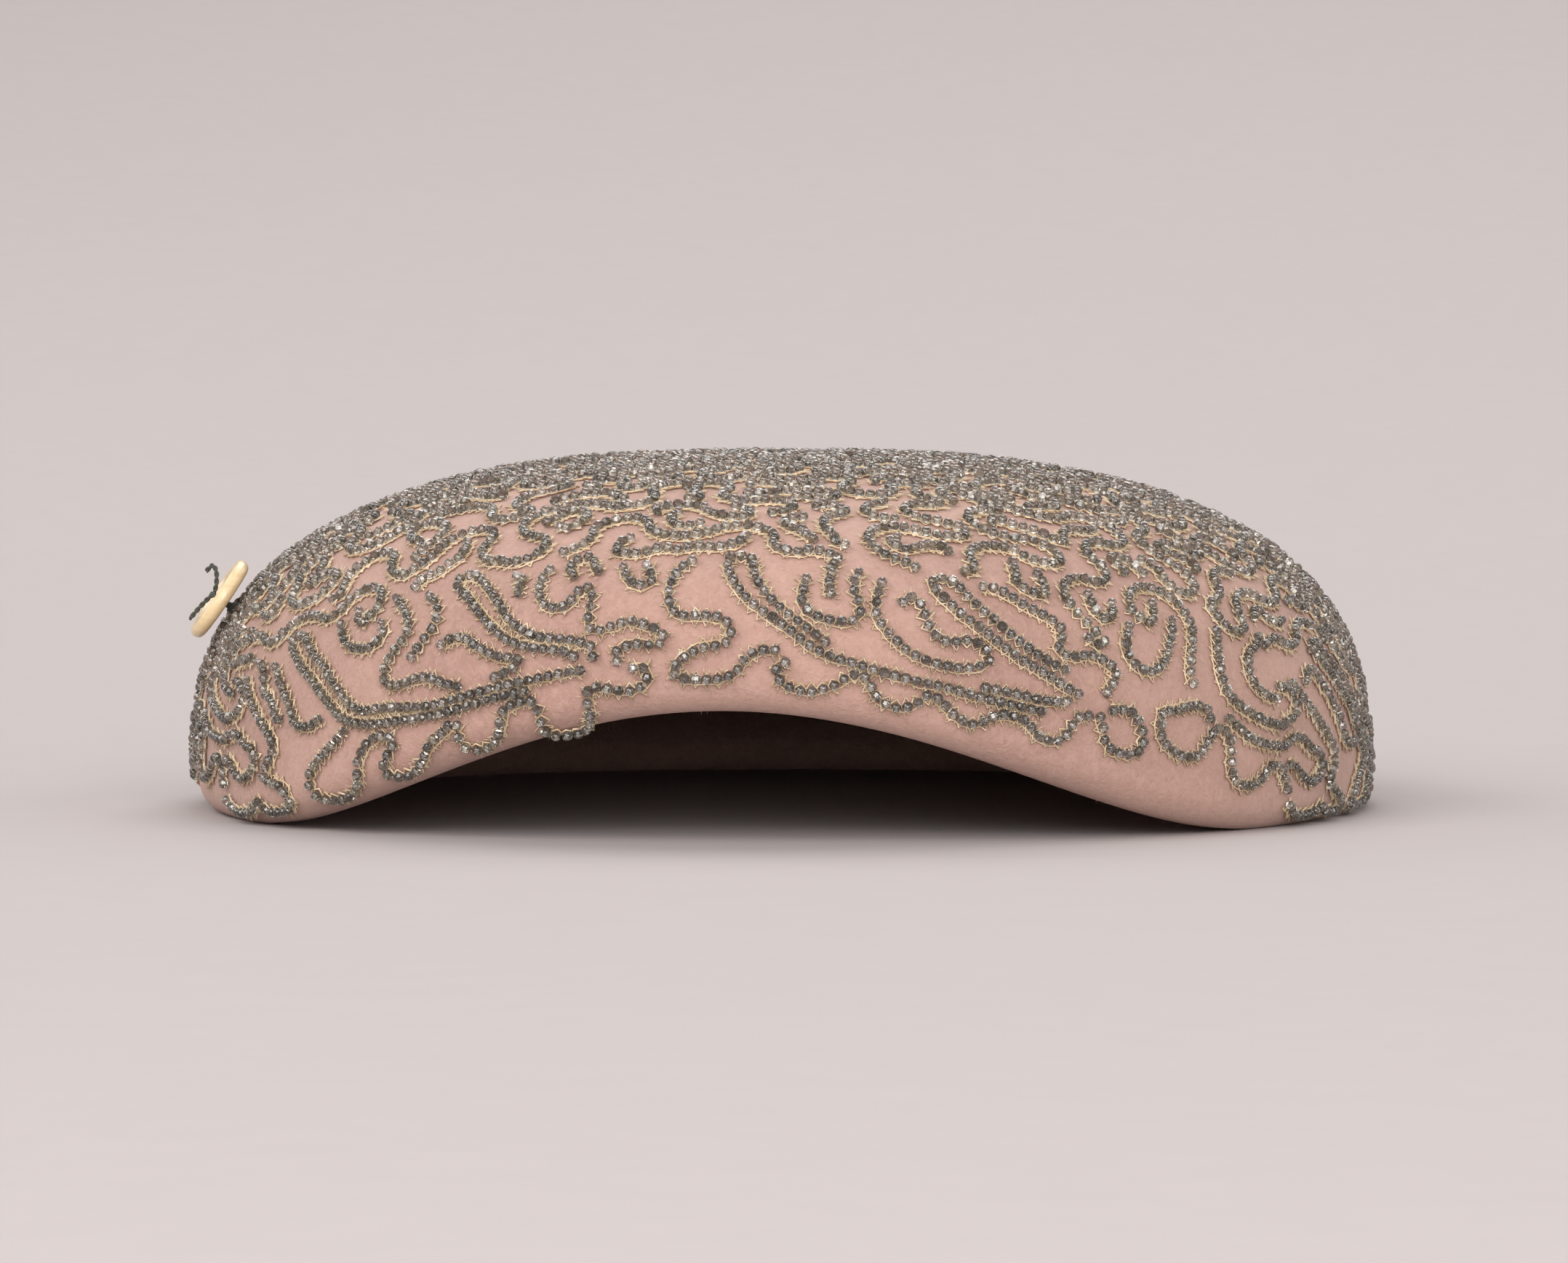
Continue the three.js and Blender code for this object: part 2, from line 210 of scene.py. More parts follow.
def make_piece(name, points, faces, material):
    """A smooth mesh piece in millimetres; each array in faces has its own count of corners."""
    mesh = bpy.data.meshes.new(name)
    mesh.vertices.add(len(points))
    mesh.vertices.foreach_set("co", (np.asarray(points, float) * MM).ravel())
    corners = np.concatenate([np.asarray(group).ravel() for group in faces])
    counts = np.concatenate([np.full(len(group), np.shape(group)[1]) for group in faces])
    starts = np.concatenate([[0], np.cumsum(counts)[:-1]])
    mesh.loops.add(len(corners))
    mesh.loops.foreach_set("vertex_index", corners.astype(np.int32))
    mesh.polygons.add(len(counts))
    mesh.polygons.foreach_set("loop_start", starts.astype(np.int32))
    mesh.polygons.foreach_set("loop_total", counts.astype(np.int32))
    mesh.polygons.foreach_set("use_smooth", np.ones(len(counts), bool))
    mesh.update(calc_edges=True)
    mesh.validate()
    mesh.materials.append(material)
    piece = add_object(name, mesh)
    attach(piece, "root")
    triangles = int((counts - 2).sum())
    print(f"{name}: {len(points)} points, {triangles} triangles")
    return piece


def set_values(piece, name, values):
    """A number for each point of a piece, which its finish reads by name."""
    piece.data.attributes.new(name, "FLOAT", "POINT").data.foreach_set("value", np.ravel(values))


# %% Points and faces of grids, rings and copies


def spokes(count):
    """Angles spread evenly round a circle."""
    return np.linspace(0, 2 * math.pi, count, endpoint=False)


def run_along(path):
    """How far along a path each of its points is."""
    return np.concatenate([[0], np.cumsum(np.linalg.norm(np.diff(path, axis=0), axis=1))])


def grid_faces(rows, columns, closed):
    """Quads of a grid whose rows follow each other; closed joins its last column to its first."""
    row = np.arange(rows - 1)[:, None]
    column = np.arange(columns if closed else columns - 1)[None, :]
    beside = (column + 1) % columns
    a, b = row * columns + column, (row + 1) * columns + column
    c, d = (row + 1) * columns + beside, row * columns + beside
    return np.stack([a, b, c, d], axis=-1).reshape(-1, 4)


def end_fans(rows, columns):
    """Triangles that close a grid's first and last rows on the two points that come after the grid."""
    column = np.arange(columns)
    beside = (column + 1) % columns
    last, tip = (rows - 1) * columns, np.full(columns, rows * columns)
    first_fan = np.stack([tip, column, beside], axis=-1)
    last_fan = np.stack([tip + 1, last + beside, last + column], axis=-1)
    return np.concatenate([first_fan, last_fan])


def capped_rings(rings, sides):
    """Faces of a closed skin over rings of points: quads along it, and a cap on each end."""
    ring = np.arange(sides)
    caps = np.stack([ring[::-1], (rings - 1) * sides + ring])
    return [grid_faces(rings, sides, True)[:, ::-1], caps]


def copied_faces(corners, count, step):
    """Faces of many copies of one small mesh that has step points."""
    first = step * np.arange(count)[:, None, None]
    return (first + np.asarray(corners)[None]).reshape(-1, np.shape(corners)[1])


def read_column(table, name):
    return np.array([row[name] for row in table])


def lathe(radius, level, sides):
    """Rings of points about the Z axis, one for each radius and level."""
    angle = spokes(sides)
    x, y = np.outer(radius, np.cos(angle)), np.outer(radius, np.sin(angle))
    return np.stack([x, y, np.repeat(level, sides).reshape(x.shape)], axis=-1)


# %% [markdown]
# ## The form of the felt
# The dome was steamed over a hat block, so its form is one smooth rule: an oval plan, a wall that
# curves over into the crown, a front edge that is lifted, and an edge rolled under to a hem. Two numbers
# name a place on it: the turn, from the front towards the wearer's left, and the distance up the felt
# from its widest line. Beads, thread and nap are all laid out in these two numbers.

# %% The felt's outer face as a function of turn and distance up
HALF_WIDTH, HALF_LENGTH, HEIGHT = 130.0, 140.0, 77.5
PLAN_EXPONENT, WALL_EXPONENT = 2.12, 2.68
CROWN_LEAN = 7.5
FELT = 2.4
RIM_ROLL = 7.0
HEM_INSET, HEM_HEIGHT = 7.2, 20.0
ARCH_RISE, ARCH_SPREAD = 28.0, math.radians(59)
FLAT_ANGLE = math.radians(75)
MEAN_RADIUS = (HALF_WIDTH + HALF_LENGTH) / 2
RIM_CENTRE = RIM_ROLL * math.sin(FLAT_ANGLE)
WALL_STEPS, ROLL_STEPS, HEM_STEPS = 700, 16, 12


def oval(turn, exponent):
    across, along = np.sin(turn), -np.cos(turn)
    reach = (np.abs(across) ** exponent + np.abs(along) ** exponent) ** (-1 / exponent)
    return across * reach, along * reach


def front_arch(turn):
    past = np.abs((turn + math.pi) % (2 * math.pi) - math.pi)
    share = np.clip(past / ARCH_SPREAD, 0, 1)
    return ARCH_RISE * np.cos(share * math.pi / 2) ** 2


def section():
    """The felt's section from the crown down the wall, round the roll and up the hem."""
    wall = np.linspace(math.pi / 2, 0, WALL_STEPS)
    power = 2 / WALL_EXPONENT
    inset = MEAN_RADIUS * (1 - np.cos(wall).clip(0) ** power)
    height = RIM_CENTRE + (HEIGHT - RIM_CENTRE) * np.sin(wall) ** power
    roll = np.concatenate([
        np.linspace(0, FLAT_ANGLE, ROLL_STEPS)[1:],
        np.linspace(math.pi - FLAT_ANGLE, math.pi, ROLL_STEPS),
    ])
    roll_inset, roll_height = RIM_ROLL - RIM_ROLL * np.cos(roll), RIM_CENTRE - RIM_ROLL * np.sin(roll)
    hem = np.linspace(0, 1, HEM_STEPS)[1:]
    hem_inset = roll_inset[-1] + (HEM_INSET - roll_inset[-1]) * hem
    hem_height = roll_height[-1] + (HEM_HEIGHT - roll_height[-1]) * hem
    inset = np.concatenate([inset, roll_inset, hem_inset])
    height = np.concatenate([height, roll_height, hem_height])
    steps = np.hypot(np.diff(inset), np.diff(height))
    run = np.concatenate([[0], np.cumsum(steps)])
    return run[len(wall) - 1] - run, inset, height


section_up, section_inset, section_height = (part[::-1] for part in section())
UP_CROWN, UP_HEM = section_up[-1], section_up[0]
print(f"the felt runs {UP_CROWN:.0f} mm up from its widest line and {-UP_HEM:.0f} mm down and under")


def felt_form(turn, up):
    """Points of the smooth outer face, in millimetres."""
    radius = MEAN_RADIUS - np.interp(up, section_up, section_inset)
    z = np.interp(up, section_up, section_height)
    climb = np.clip((z - RIM_CENTRE) / (HEIGHT - RIM_CENTRE), 0, 1)
    plan_x, plan_y = oval(turn, PLAN_EXPONENT)
    share = radius / MEAN_RADIUS
    x = HALF_WIDTH * share * plan_x
    y = HALF_LENGTH * share * plan_y - CROWN_LEAN * climb**2
    return np.stack([x, y, z + front_arch(turn) * (1 - climb)], axis=-1)


def unit(vectors):
    return vectors / np.maximum(np.linalg.norm(vectors, axis=-1, keepdims=True), 1e-9)


TURN_STEP, UP_STEP, CROWN_MARGIN = 0.004, 0.6, 1.5


def felt_out(turn, up):
    """Directions square to the outer face, away from the felt."""
    up = np.minimum(up, UP_CROWN - CROWN_MARGIN)
    aside = felt_form(turn + TURN_STEP, up) - felt_form(turn - TURN_STEP, up)
    above = felt_form(turn, up + UP_STEP) - felt_form(turn, up - UP_STEP)
    return unit(np.cross(aside, above))


DENTS = {"height": 0.30, "waves_round": 3, "round_start": 0.8, "up_length": 17, "up_start": 0.4}
SWELLS = (
    {"height": 0.22, "waves_round": 5, "up_length": -23, "start": 2.1},
    {"height": 0.12, "waves_round": 9, "up_length": 9, "start": 0.0},
)
SWELL_FROM, SWELL_RIM_FADE, SWELL_CROWN_FADE = 1.0, 14.0, 60.0


def felt_unevenness(turn, up):
    """Dents and swells that hand blocking leaves, fading out at the rim and the crown's middle."""
    round_wave = np.sin(DENTS["waves_round"] * turn + DENTS["round_start"])
    swell = DENTS["height"] * round_wave * np.sin(up / DENTS["up_length"] + DENTS["up_start"])
    for wave in SWELLS:
        slope = wave["waves_round"] * turn + up / wave["up_length"] + wave["start"]
        swell = swell + wave["height"] * np.sin(slope)
    from_rim = np.clip((up - SWELL_FROM) / SWELL_RIM_FADE, 0, 1)
    from_crown = np.clip((UP_CROWN - up) / SWELL_CROWN_FADE, 0, 1)
    return swell * from_rim * from_crown


def felt_face(turn, up):
    """Points of the outer face as it was blocked, with the directions square to it."""
    turn, up = np.broadcast_arrays(np.asarray(turn, float), np.asarray(up, float))
    out = felt_out(turn, up)
    return felt_form(turn, up) + out * felt_unevenness(turn, up)[..., None], out


# %% [markdown]
# ## Wool felt
# Felt has no weave. It is a mat of crimped fibres, cloudy in colour from dyeing, with a soft nap that
# catches light at grazing angles. Clouds come from a slow noise, the mat from a fast one, dark flecks from
# another, and the bloom from the shader's sheen. The mat and a finer grain also feed the bump.

# %% Felt finish
felt = Finish("wool_felt")
felt_clouds = felt.sharpen(felt.noise(26, detail=3), low=0.30, high=0.72)
felt_mat = felt.noise(520, detail=5, roughness=0.65, distortion=1.2)
felt_grain = felt.noise(2100, detail=2)
felt_fleck = felt.sharpen(felt.noise(900, detail=1), low=0.64, high=0.74)
FELT_PALE, FELT_DEEP = colour(0.455, 0.288, 0.236), colour(0.375, 0.229, 0.188)
FELT_FIBRE, FELT_FLECK = colour(0.59, 0.402, 0.345), colour(0.31, 0.175, 0.150)
felt_base = felt.tint(felt_clouds, FELT_DEEP, FELT_PALE)
felt_base = felt.tint(felt.sharpen(felt_mat, low=0.40, high=0.75) * 0.45, felt_base, FELT_FIBRE)
felt_base = felt.tint(felt_fleck * 0.35, felt_base, FELT_FLECK)
felt_material = felt.surface(
    Base_Color=felt_base,
    Roughness=0.86 + felt_mat * 0.14,
    Normal=felt.bump(felt_mat * 0.65 + felt_grain * 0.35, depth=0.00055, strength=0.75),
    Sheen_Weight=0.22,
    Sheen_Roughness=0.55,
    Sheen_Tint=colour(1.0, 0.86, 0.80),
    Specular_IOR_Level=0.15,
)

# %% [markdown]
# ## The felt shell
# The outer face is the function above, sampled on a grid that is finer round the rim. The inner face is
# the same grid moved in by the felt's thickness, and the two are joined at the hem, so the shell is one
# closed wall, as the real one is, and not a sheet with no thickness.

# %% Felt shell
SHELL_TURNS, SHELL_CROWN_ROWS, SHELL_RIM_ROWS = 216, 46, 44
CROWN_FAN_REACH, RIM_ROWS_FROM = 2.5, 8
HEM_WAVER_FROM, HEM_WAVER_OVER = 24, 12
HEM_WAVES = (
    {"height": 0.5, "waves_round": 7, "start": 0.0},
    {"height": 0.3, "waves_round": 17, "start": 1.0},
)
HEM_EDGE_BULGE = 0.35


def waver(turn, waves):
    """How far an edge wavers up and down along its turn."""
    return sum(wave["height"] * np.sin(wave["waves_round"] * turn + wave["start"]) for wave in waves)


shell_up = np.concatenate([
    UP_CROWN - np.linspace(CROWN_FAN_REACH, UP_CROWN - RIM_ROWS_FROM, SHELL_CROWN_ROWS),
    np.linspace(RIM_ROWS_FROM, UP_HEM, SHELL_RIM_ROWS)[1:],
])
shell_turn = np.linspace(-math.pi, math.pi, SHELL_TURNS, endpoint=False)
outer, outward = felt_face(shell_turn[None, :], shell_up[:, None])
waver_share = np.clip((-shell_up - HEM_WAVER_FROM) / HEM_WAVER_OVER, 0, 1)[:, None]
outer[..., 2] += waver_share * waver(shell_turn, HEM_WAVES)
inner = outer - outward * FELT
hem_way = unit(outer[-1] - outer[-2])
hem_edge = (outer[-1] + inner[-1]) / 2 + hem_way * HEM_EDGE_BULGE * FELT
crown_out = felt_form(np.array([0.0]), np.array([UP_CROWN]))
crown_in = crown_out - np.array([[0, 0, FELT]])
shell_rows = np.concatenate([outer, hem_edge[None], inner[::-1]])
shell_points = np.concatenate([shell_rows.reshape(-1, 3), crown_out, crown_in])
felt_crown = make_piece(
    "felt_crown",
    shell_points,
    [grid_faces(len(shell_rows), SHELL_TURNS, True), end_fans(len(shell_rows), SHELL_TURNS)],
    felt_material,
)
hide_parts("felt_shell")

# %% [markdown]
# ## Nap
# Felt does not end in a clean line: loose wool fibres stand off it, most plainly along the rim. Hair
# particles would do, but a mesh of thin tapered slivers keeps its place in every export. Each has a root
# on the felt, a bent middle and a tip.

# %% Nap of loose fibres
NAP_FIBRES = 15500
NAP_LENGTH, NAP_WIDTH = (0.7, 1.9), 0.055
NAP_LIFT_SHARE, NAP_ROOT_DEPTH = (0.08, 0.55), 0.05
NAP_LOWEST, NAP_BELOW_CROWN = -26, 2
BEND_AT, BEND_LIFT, BEND_WIDTH = 0.55, 0.75, 0.7
NAP_TABLE_CLEARANCE = 0.03
draw = np.random.default_rng(11)


def nap_roots(count, low, high):
    """Places spread evenly over the felt between two distances up it."""
    turn, up = [], []
    while len(turn) < count:
        a_turn, a_up = draw.uniform(-math.pi, math.pi), draw.uniform(low, high)
        radius = MEAN_RADIUS - np.interp(a_up, section_up, section_inset)
        if draw.uniform(0, MEAN_RADIUS) < radius:
            turn.append(a_turn)
            up.append(a_up)
    return np.array(turn), np.array(up)


def sliver_mesh(root, way, side, out, length, width, lift):
    """Thin tapered slivers, bent once."""
    middle = root + way * (BEND_AT * length)[:, None] + out * (BEND_LIFT * lift)[:, None]
    tip = root + way * length[:, None] + out * lift[:, None]
    half = side * (width / 2)
    bent = half * BEND_WIDTH
    points = np.stack([root - half, root + half, middle - bent, middle + bent, tip], axis=1)
    faces = [copied_faces(face, *points.shape[:2]) for face in ([[0, 1, 3, 2]], [[2, 3, 4]])]
    return points.reshape(-1, 3), faces


nap_turn, nap_up = nap_roots(NAP_FIBRES, NAP_LOWEST, UP_CROWN - NAP_BELOW_CROWN)
nap_root, nap_out = felt_face(nap_turn, nap_up)
lean = unit(draw.normal(size=nap_root.shape))
nap_way = unit(lean - nap_out * (lean * nap_out).sum(1, keepdims=True))
nap_side = np.cross(nap_out, nap_way)
nap_length = draw.uniform(*NAP_LENGTH, NAP_FIBRES)
nap_lift = nap_length * draw.uniform(*NAP_LIFT_SHARE, NAP_FIBRES)
nap_points, nap_faces = sliver_mesh(
    nap_root - nap_out * NAP_ROOT_DEPTH, nap_way, nap_side, nap_out, nap_length, NAP_WIDTH, nap_lift
)
nap_points[:, 2] = np.maximum(nap_points[:, 2], NAP_TABLE_CLEARANCE)
make_piece("felt_nap", nap_points, nap_faces, felt_material)

# %% [markdown]
# ## The head band
# The hat grips the head with an inner wall of felt, a horseshoe that is open in front, where it runs up
# into the crown. It follows its own oval, narrower than the shell. Where it would pass through the
# crown, a ray cast upwards finds the felt above and the wall stops just short of it.

# %% Band and ribbon places
BAND_HALF_WIDTH, BAND_CENTRE_Y = 100.5, 35.0
BAND_BACK_LENGTH, BAND_FRONT_LENGTH = 60.0, 113.0
BAND_BACK_EXPONENT, BAND_FRONT_EXPONENT = 2.8, 2.05
BAND_EDGE_HEIGHT, BAND_WALL_HEIGHT, BAND_WALL_LEAN = 17.0, 62.0, 9.0
BAND_FELT, BAND_ROLL = 2.2, 4.2
BAND_HEM_INSET, BAND_HEM_HEIGHT = 1.0, 11.0
EDGE_RISE_FROM_Y, EDGE_RISE, EDGE_RISE_RUN, EDGE_RISE_POWER = 20.0, 4.0, 20.0, 1.8
BAND_ROLL_CENTRE = BAND_ROLL * math.sin(FLAT_ANGLE)
SEAT_GAP = 0.3
BESIDE_TURN = 0.02
RAY_FROM = -10.0
HEADROOM_LEVELS = 40


def band_line(turn):
    behind = np.cos(turn) < 0
    back_x, back_y = oval(turn, BAND_BACK_EXPONENT)
    front_x, front_y = oval(turn, BAND_FRONT_EXPONENT)
    x = BAND_HALF_WIDTH * np.where(behind, back_x, front_x)
    y = BAND_CENTRE_Y + np.where(behind, BAND_BACK_LENGTH * back_y, BAND_FRONT_LENGTH * front_y)
    return np.stack([x, y], axis=-1)


def band_place(turn, depth, height):
    """A place beside the band: depth is out from its head side, height is up from its edge."""
    line = band_line(turn)
    run = unit(band_line(turn + BESIDE_TURN) - band_line(turn - BESIDE_TURN))
    out = depth - 2 * BAND_ROLL
    forward = np.maximum(EDGE_RISE_FROM_Y - line[..., 1], 0) / EDGE_RISE_RUN
    z = height + BAND_EDGE_HEIGHT + EDGE_RISE * forward**EDGE_RISE_POWER
    return np.stack([line[..., 0] + run[..., 1] * out, line[..., 1] - run[..., 0] * out, z], axis=-1)


def round_the_back(start, count):
    """Turns from one front end of the horseshoe round the back to the other."""
    return np.linspace(start, 2 * math.pi - start, count)


def band_lean(height):
    climb = np.clip((height - BAND_ROLL_CENTRE) / (BAND_WALL_HEIGHT - BAND_ROLL_CENTRE), 0, None)
    return -BAND_WALL_LEAN * climb**2


shell_mesh = felt_crown.data
shell_tree = BVHTree.FromPolygons(
    [v.co for v in shell_mesh.vertices], [list(p.vertices) for p in shell_mesh.polygons]
)


def headroom(points):
    """How far above each point the shell's felt is, in millimetres."""
    room = []
    for x, y, z in points.reshape(-1, 3):
        hit = shell_tree.ray_cast(Vector((x * MM, y * MM, RAY_FROM * MM)), Vector((0, 0, 1)))[0]
        room.append((hit.z / MM if hit else HEIGHT) - z)
    return np.array(room).reshape(points.shape[:-1])


def height_under_shell(place_at, turn, low, high, gap):
    """For each turn, the greatest height at which place_at(turn, height) stays a gap under the shell."""
    levels = np.linspace(low, high, HEADROOM_LEVELS)
    room = headroom(place_at(turn[None, :], levels[:, None])) - gap
    first = np.where((room <= 0).any(0), (room <= 0).argmax(0), len(levels) - 1)
    below, column = np.maximum(first - 1, 0), np.arange(len(turn))
    room_below, room_first = room[below, column], room[first, column]
    share = np.clip(room_below / np.maximum(room_below - room_first, 1e-6), 0, 1)
    return levels[below] + (levels[first] - levels[below]) * share


# %% Head band
BAND_END_ROOM = 2 * BAND_ROLL + 3
BAND_PROBES, BAND_COLUMNS, BAND_WALL_ROWS, BAND_HEM_ROWS = 721, 220, 14, 6
ROLL_DEGREES = np.arange(0, 181, 10)
WAVER_BELOW, WAVER_OVER, WAVER_END_FADE = 60, 20, 4
BAND_WAVES = (
    {"height": 0.35, "waves_round": 11, "start": 0.0},
    {"height": 0.25, "waves_round": 23, "start": 0.6},
)
probe_turn = np.linspace(0, math.pi, BAND_PROBES)
edge_points = band_place(probe_turn, BAND_ROLL, 0.0)
band_start = probe_turn[headroom(edge_points) > BAND_END_ROOM].min()
band_turn = round_the_back(band_start, BAND_COLUMNS)
wall_share = np.linspace(1, 0, BAND_WALL_ROWS)[:-1]
roll_angle = np.radians(ROLL_DEGREES)
hem_share = np.linspace(0, 1, BAND_HEM_ROWS)[1:]


def band_face(outset):
    """Rows of one face of the band, from its top down the wall, round the roll and up the hem."""
    def wall_at(turn, height):
        return band_place(turn, band_lean(height) + outset, height)

    top = height_under_shell(wall_at, band_turn, BAND_ROLL_CENTRE, BAND_WALL_HEIGHT, SEAT_GAP)
    wall_height = BAND_ROLL_CENTRE + wall_share[:, None] * (top[None, :] - BAND_ROLL_CENTRE)
    radius = BAND_ROLL - outset
    roll_depth = BAND_ROLL - radius * np.cos(roll_angle)
    roll_height = BAND_ROLL_CENTRE - radius * np.sin(roll_angle)
    hem_depth = roll_depth[-1] - BAND_HEM_INSET * hem_share
    hem_height = BAND_ROLL_CENTRE + (BAND_HEM_HEIGHT - BAND_ROLL_CENTRE) * hem_share
    under_depth = np.concatenate([roll_depth, hem_depth])[:, None]
    under_height = np.concatenate([roll_height, hem_height])[:, None]
    return np.concatenate([
        wall_at(band_turn[None, :], wall_height),
        band_place(band_turn[None, :], under_depth, under_height),
    ])


def closed_strip(rows, columns):
    """Faces of a strip with two faces: its sides, the seam between its first and last rows, its ends."""
    seam, last_row = np.arange(columns - 1), (rows - 1) * columns
    edge = np.stack([last_row + seam, seam, seam + 1, last_row + seam + 1], axis=-1)
    row = np.arange(rows // 2 - 1)
    end = np.stack([row, rows - 1 - row, rows - 2 - row, row + 1], axis=-1) * columns
    return [grid_faces(rows, columns, False), edge, end, (end + columns - 1)[:, ::-1]]


band_points = np.concatenate([band_face(0.0), band_face(BAND_FELT)[::-1]])
low_share = np.clip((WAVER_BELOW - band_points[..., 2]) / WAVER_OVER, 0, 1)
end_share = np.clip((band_turn - band_start) * WAVER_END_FADE, 0, 1)
band_points[..., 2] += waver(band_turn, BAND_WAVES) * low_share * end_share
print(f"the band is open over {2 * math.degrees(band_start):.0f} degrees in front")
felt_band = make_piece(
    "felt_head_band",
    band_points.reshape(-1, 3),
    [group[:, ::-1] for group in closed_strip(*band_points.shape[:2])],
    felt_material,
)
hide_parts("head_band")

# %% [markdown]
# ## The ribbon inside the band
# A tan grosgrain ribbon is sewn along the band's edge, and its upper edge is left free, so it buckles.
# Grosgrain has thick weft ribs across its width. They are real ridges here: every second column of the
# grid stands a little proud, and the grooves between are painted darker, as painted shade.

# %% Grosgrain finish
grosgrain = Finish("grosgrain")
warp = grosgrain.noise(1500, detail=2)
grosgrain_shade = grosgrain.sharpen(grosgrain.noise(45, detail=3), low=0.30, high=0.70)
rib_crest = grosgrain.point_value("rib")
RIBBON_DEEP, RIBBON_PALE = colour(0.37, 0.215, 0.135), colour(0.47, 0.29, 0.19)
RIBBON_WARP, RIBBON_GROOVE_SHADE = colour(0.56, 0.37, 0.26), colour(0.16, 0.085, 0.050)
grosgrain_base = grosgrain.tint(grosgrain_shade, RIBBON_DEEP, RIBBON_PALE)
grosgrain_base = grosgrain.tint(warp * 0.35, grosgrain_base, RIBBON_WARP)
# Painted shade: the grooves between the ribs are tinted towards the dark groove colour.
grosgrain_base = grosgrain.tint(0.55 - rib_crest * 0.55, grosgrain_base, RIBBON_GROOVE_SHADE)
grosgrain_material = grosgrain.surface(
    Base_Color=grosgrain_base,
    Roughness=0.55 + warp * 0.25,
    Normal=grosgrain.bump(warp, depth=0.0002, strength=0.5),
    Sheen_Weight=0.15,
)

# %% Ribbon
RIBBON_WIDTH, RIBBON_THICKNESS, RIBBON_ABOVE_EDGE = 24.0, 0.7, 4.5
RIB_PITCH, RIB_HEIGHT = 1.1, 0.28
STAND_OFF, RIBBON_END_TURN = 2.5, 0.05
RIBBON_PROBES, RIBBON_ROWS = 400, 9
BUCKLES = (
    {"turn": 124, "spread": 16, "depth": 9.0},
    {"turn": -121, "spread": 17, "depth": 5.0},
    {"turn": 82, "spread": 12, "depth": 2.5},
    {"turn": -76, "spread": 14, "depth": 3.0},
    {"turn": 178, "spread": 22, "depth": 2.0},
)


def ribbon_place(turn, height, thick):
    """A place on the ribbon, which leans off the band more and more towards its free edge."""
    off = STAND_OFF
    for buckle in BUCKLES:
        past = (np.degrees(turn) - buckle["turn"] + 180) % 360 - 180
        off = off + buckle["depth"] * np.exp(-((past / buckle["spread"]) ** 2))
    climb = (height - RIBBON_ABOVE_EDGE) / RIBBON_WIDTH
    return band_place(turn, band_lean(height) - SEAT_GAP - thick - off * climb**2, height)


ribbon_start = band_start + RIBBON_END_TURN
sewn_line = ribbon_place(round_the_back(ribbon_start, RIBBON_PROBES), RIBBON_ABOVE_EDGE, 0.0)
ribbon_length = run_along(sewn_line)[-1]
ribs = int(ribbon_length / RIB_PITCH)
ribbon_turn = round_the_back(ribbon_start, 2 * ribs + 1)
rib = RIB_HEIGHT * (np.arange(2 * ribs + 1) % 2)[None, :]
free_edge = height_under_shell(
    lambda turn, height: ribbon_place(turn, height, RIBBON_THICKNESS),
    ribbon_turn, RIBBON_ABOVE_EDGE, RIBBON_ABOVE_EDGE + RIBBON_WIDTH, 2 * SEAT_GAP,
)
ribbon_share = np.linspace(0, 1, RIBBON_ROWS)[:, None]
ribbon_height = RIBBON_ABOVE_EDGE + ribbon_share * (free_edge - RIBBON_ABOVE_EDGE)
near = ribbon_place(ribbon_turn[None, :], ribbon_height, 0.0)
far = ribbon_place(ribbon_turn[None, :], ribbon_height, RIBBON_THICKNESS + rib)
ribbon_points = np.concatenate([near, far[::-1]])
ribbon = make_piece(
    "grosgrain_ribbon",
    ribbon_points.reshape(-1, 3),
    closed_strip(*ribbon_points.shape[:2]),
    grosgrain_material,
)
crests = np.broadcast_to(rib > 0, ribbon_points.shape[:2]).astype(float)
set_values(ribbon, "rib", crests)
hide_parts("sweat_ribbon")
print(f"ribbon {RIBBON_WIDTH:.0f} mm wide and {ribbon_length:.0f} mm long")

# %% [markdown]
# ## Sewing thread
# A thread is a few plies twisted together. A tube swept along a path, with frames carried from point to
# point so that it never spins, gives one strand. Two of them wound about the path make a thread.

# %% Sweep tubes along paths
SIDE_HINT = (0.3, 0.5, 0.8)
PLY_ASIDE, PLY_RADIUS = 0.5, 0.56


def carried_frames(path):
    """For each point of a path, its direction and two sides that do not spin along it."""
    way = unit(np.gradient(path, axis=0))
    side = unit(np.cross(way[0], SIDE_HINT))
    sides = []
    for a_way in way:
        side = unit(side - a_way * np.dot(side, a_way))
        sides.append(side)
    sides = np.array(sides)
    return way, sides, np.cross(way, sides)


def tube(path, radius, sides=6):
    """Points and faces of a closed tube; radius may change along the path."""
    path = np.asarray(path, float)
    radius = np.broadcast_to(radius, len(path))
    _, first, second = carried_frames(path)
    angle = spokes(sides)
    ring = first[:, None] * np.cos(angle)[:, None] + second[:, None] * np.sin(angle)[:, None]
    points = (path[:, None] + ring * radius[:, None, None]).reshape(-1, 3)
    return points, capped_rings(len(path), sides)


def smooth_path(points, per_span):
    """A smooth path through points, with a count of steps for each span."""
    points = np.asarray(points, float)
    before = np.concatenate([[2 * points[0] - points[1]], points[:-1]])
    after = np.concatenate([points[1:], [2 * points[-1] - points[-2]]])
    beyond = np.concatenate([after[1:], [2 * after[-1] - points[-1]]])
    t = np.linspace(0, 1, per_span, endpoint=False)[None, :, None]
    a, b, c, d = (part[:-1, None, :] for part in (before, points, after, beyond))
    bend = 2 * b + (c - a) * t + (2 * a - 5 * b + 4 * c - d) * t**2 + (3 * b - a - 3 * c + d) * t**3
    return np.concatenate([0.5 * bend.reshape(-1, points.shape[1]), points[-1:]])


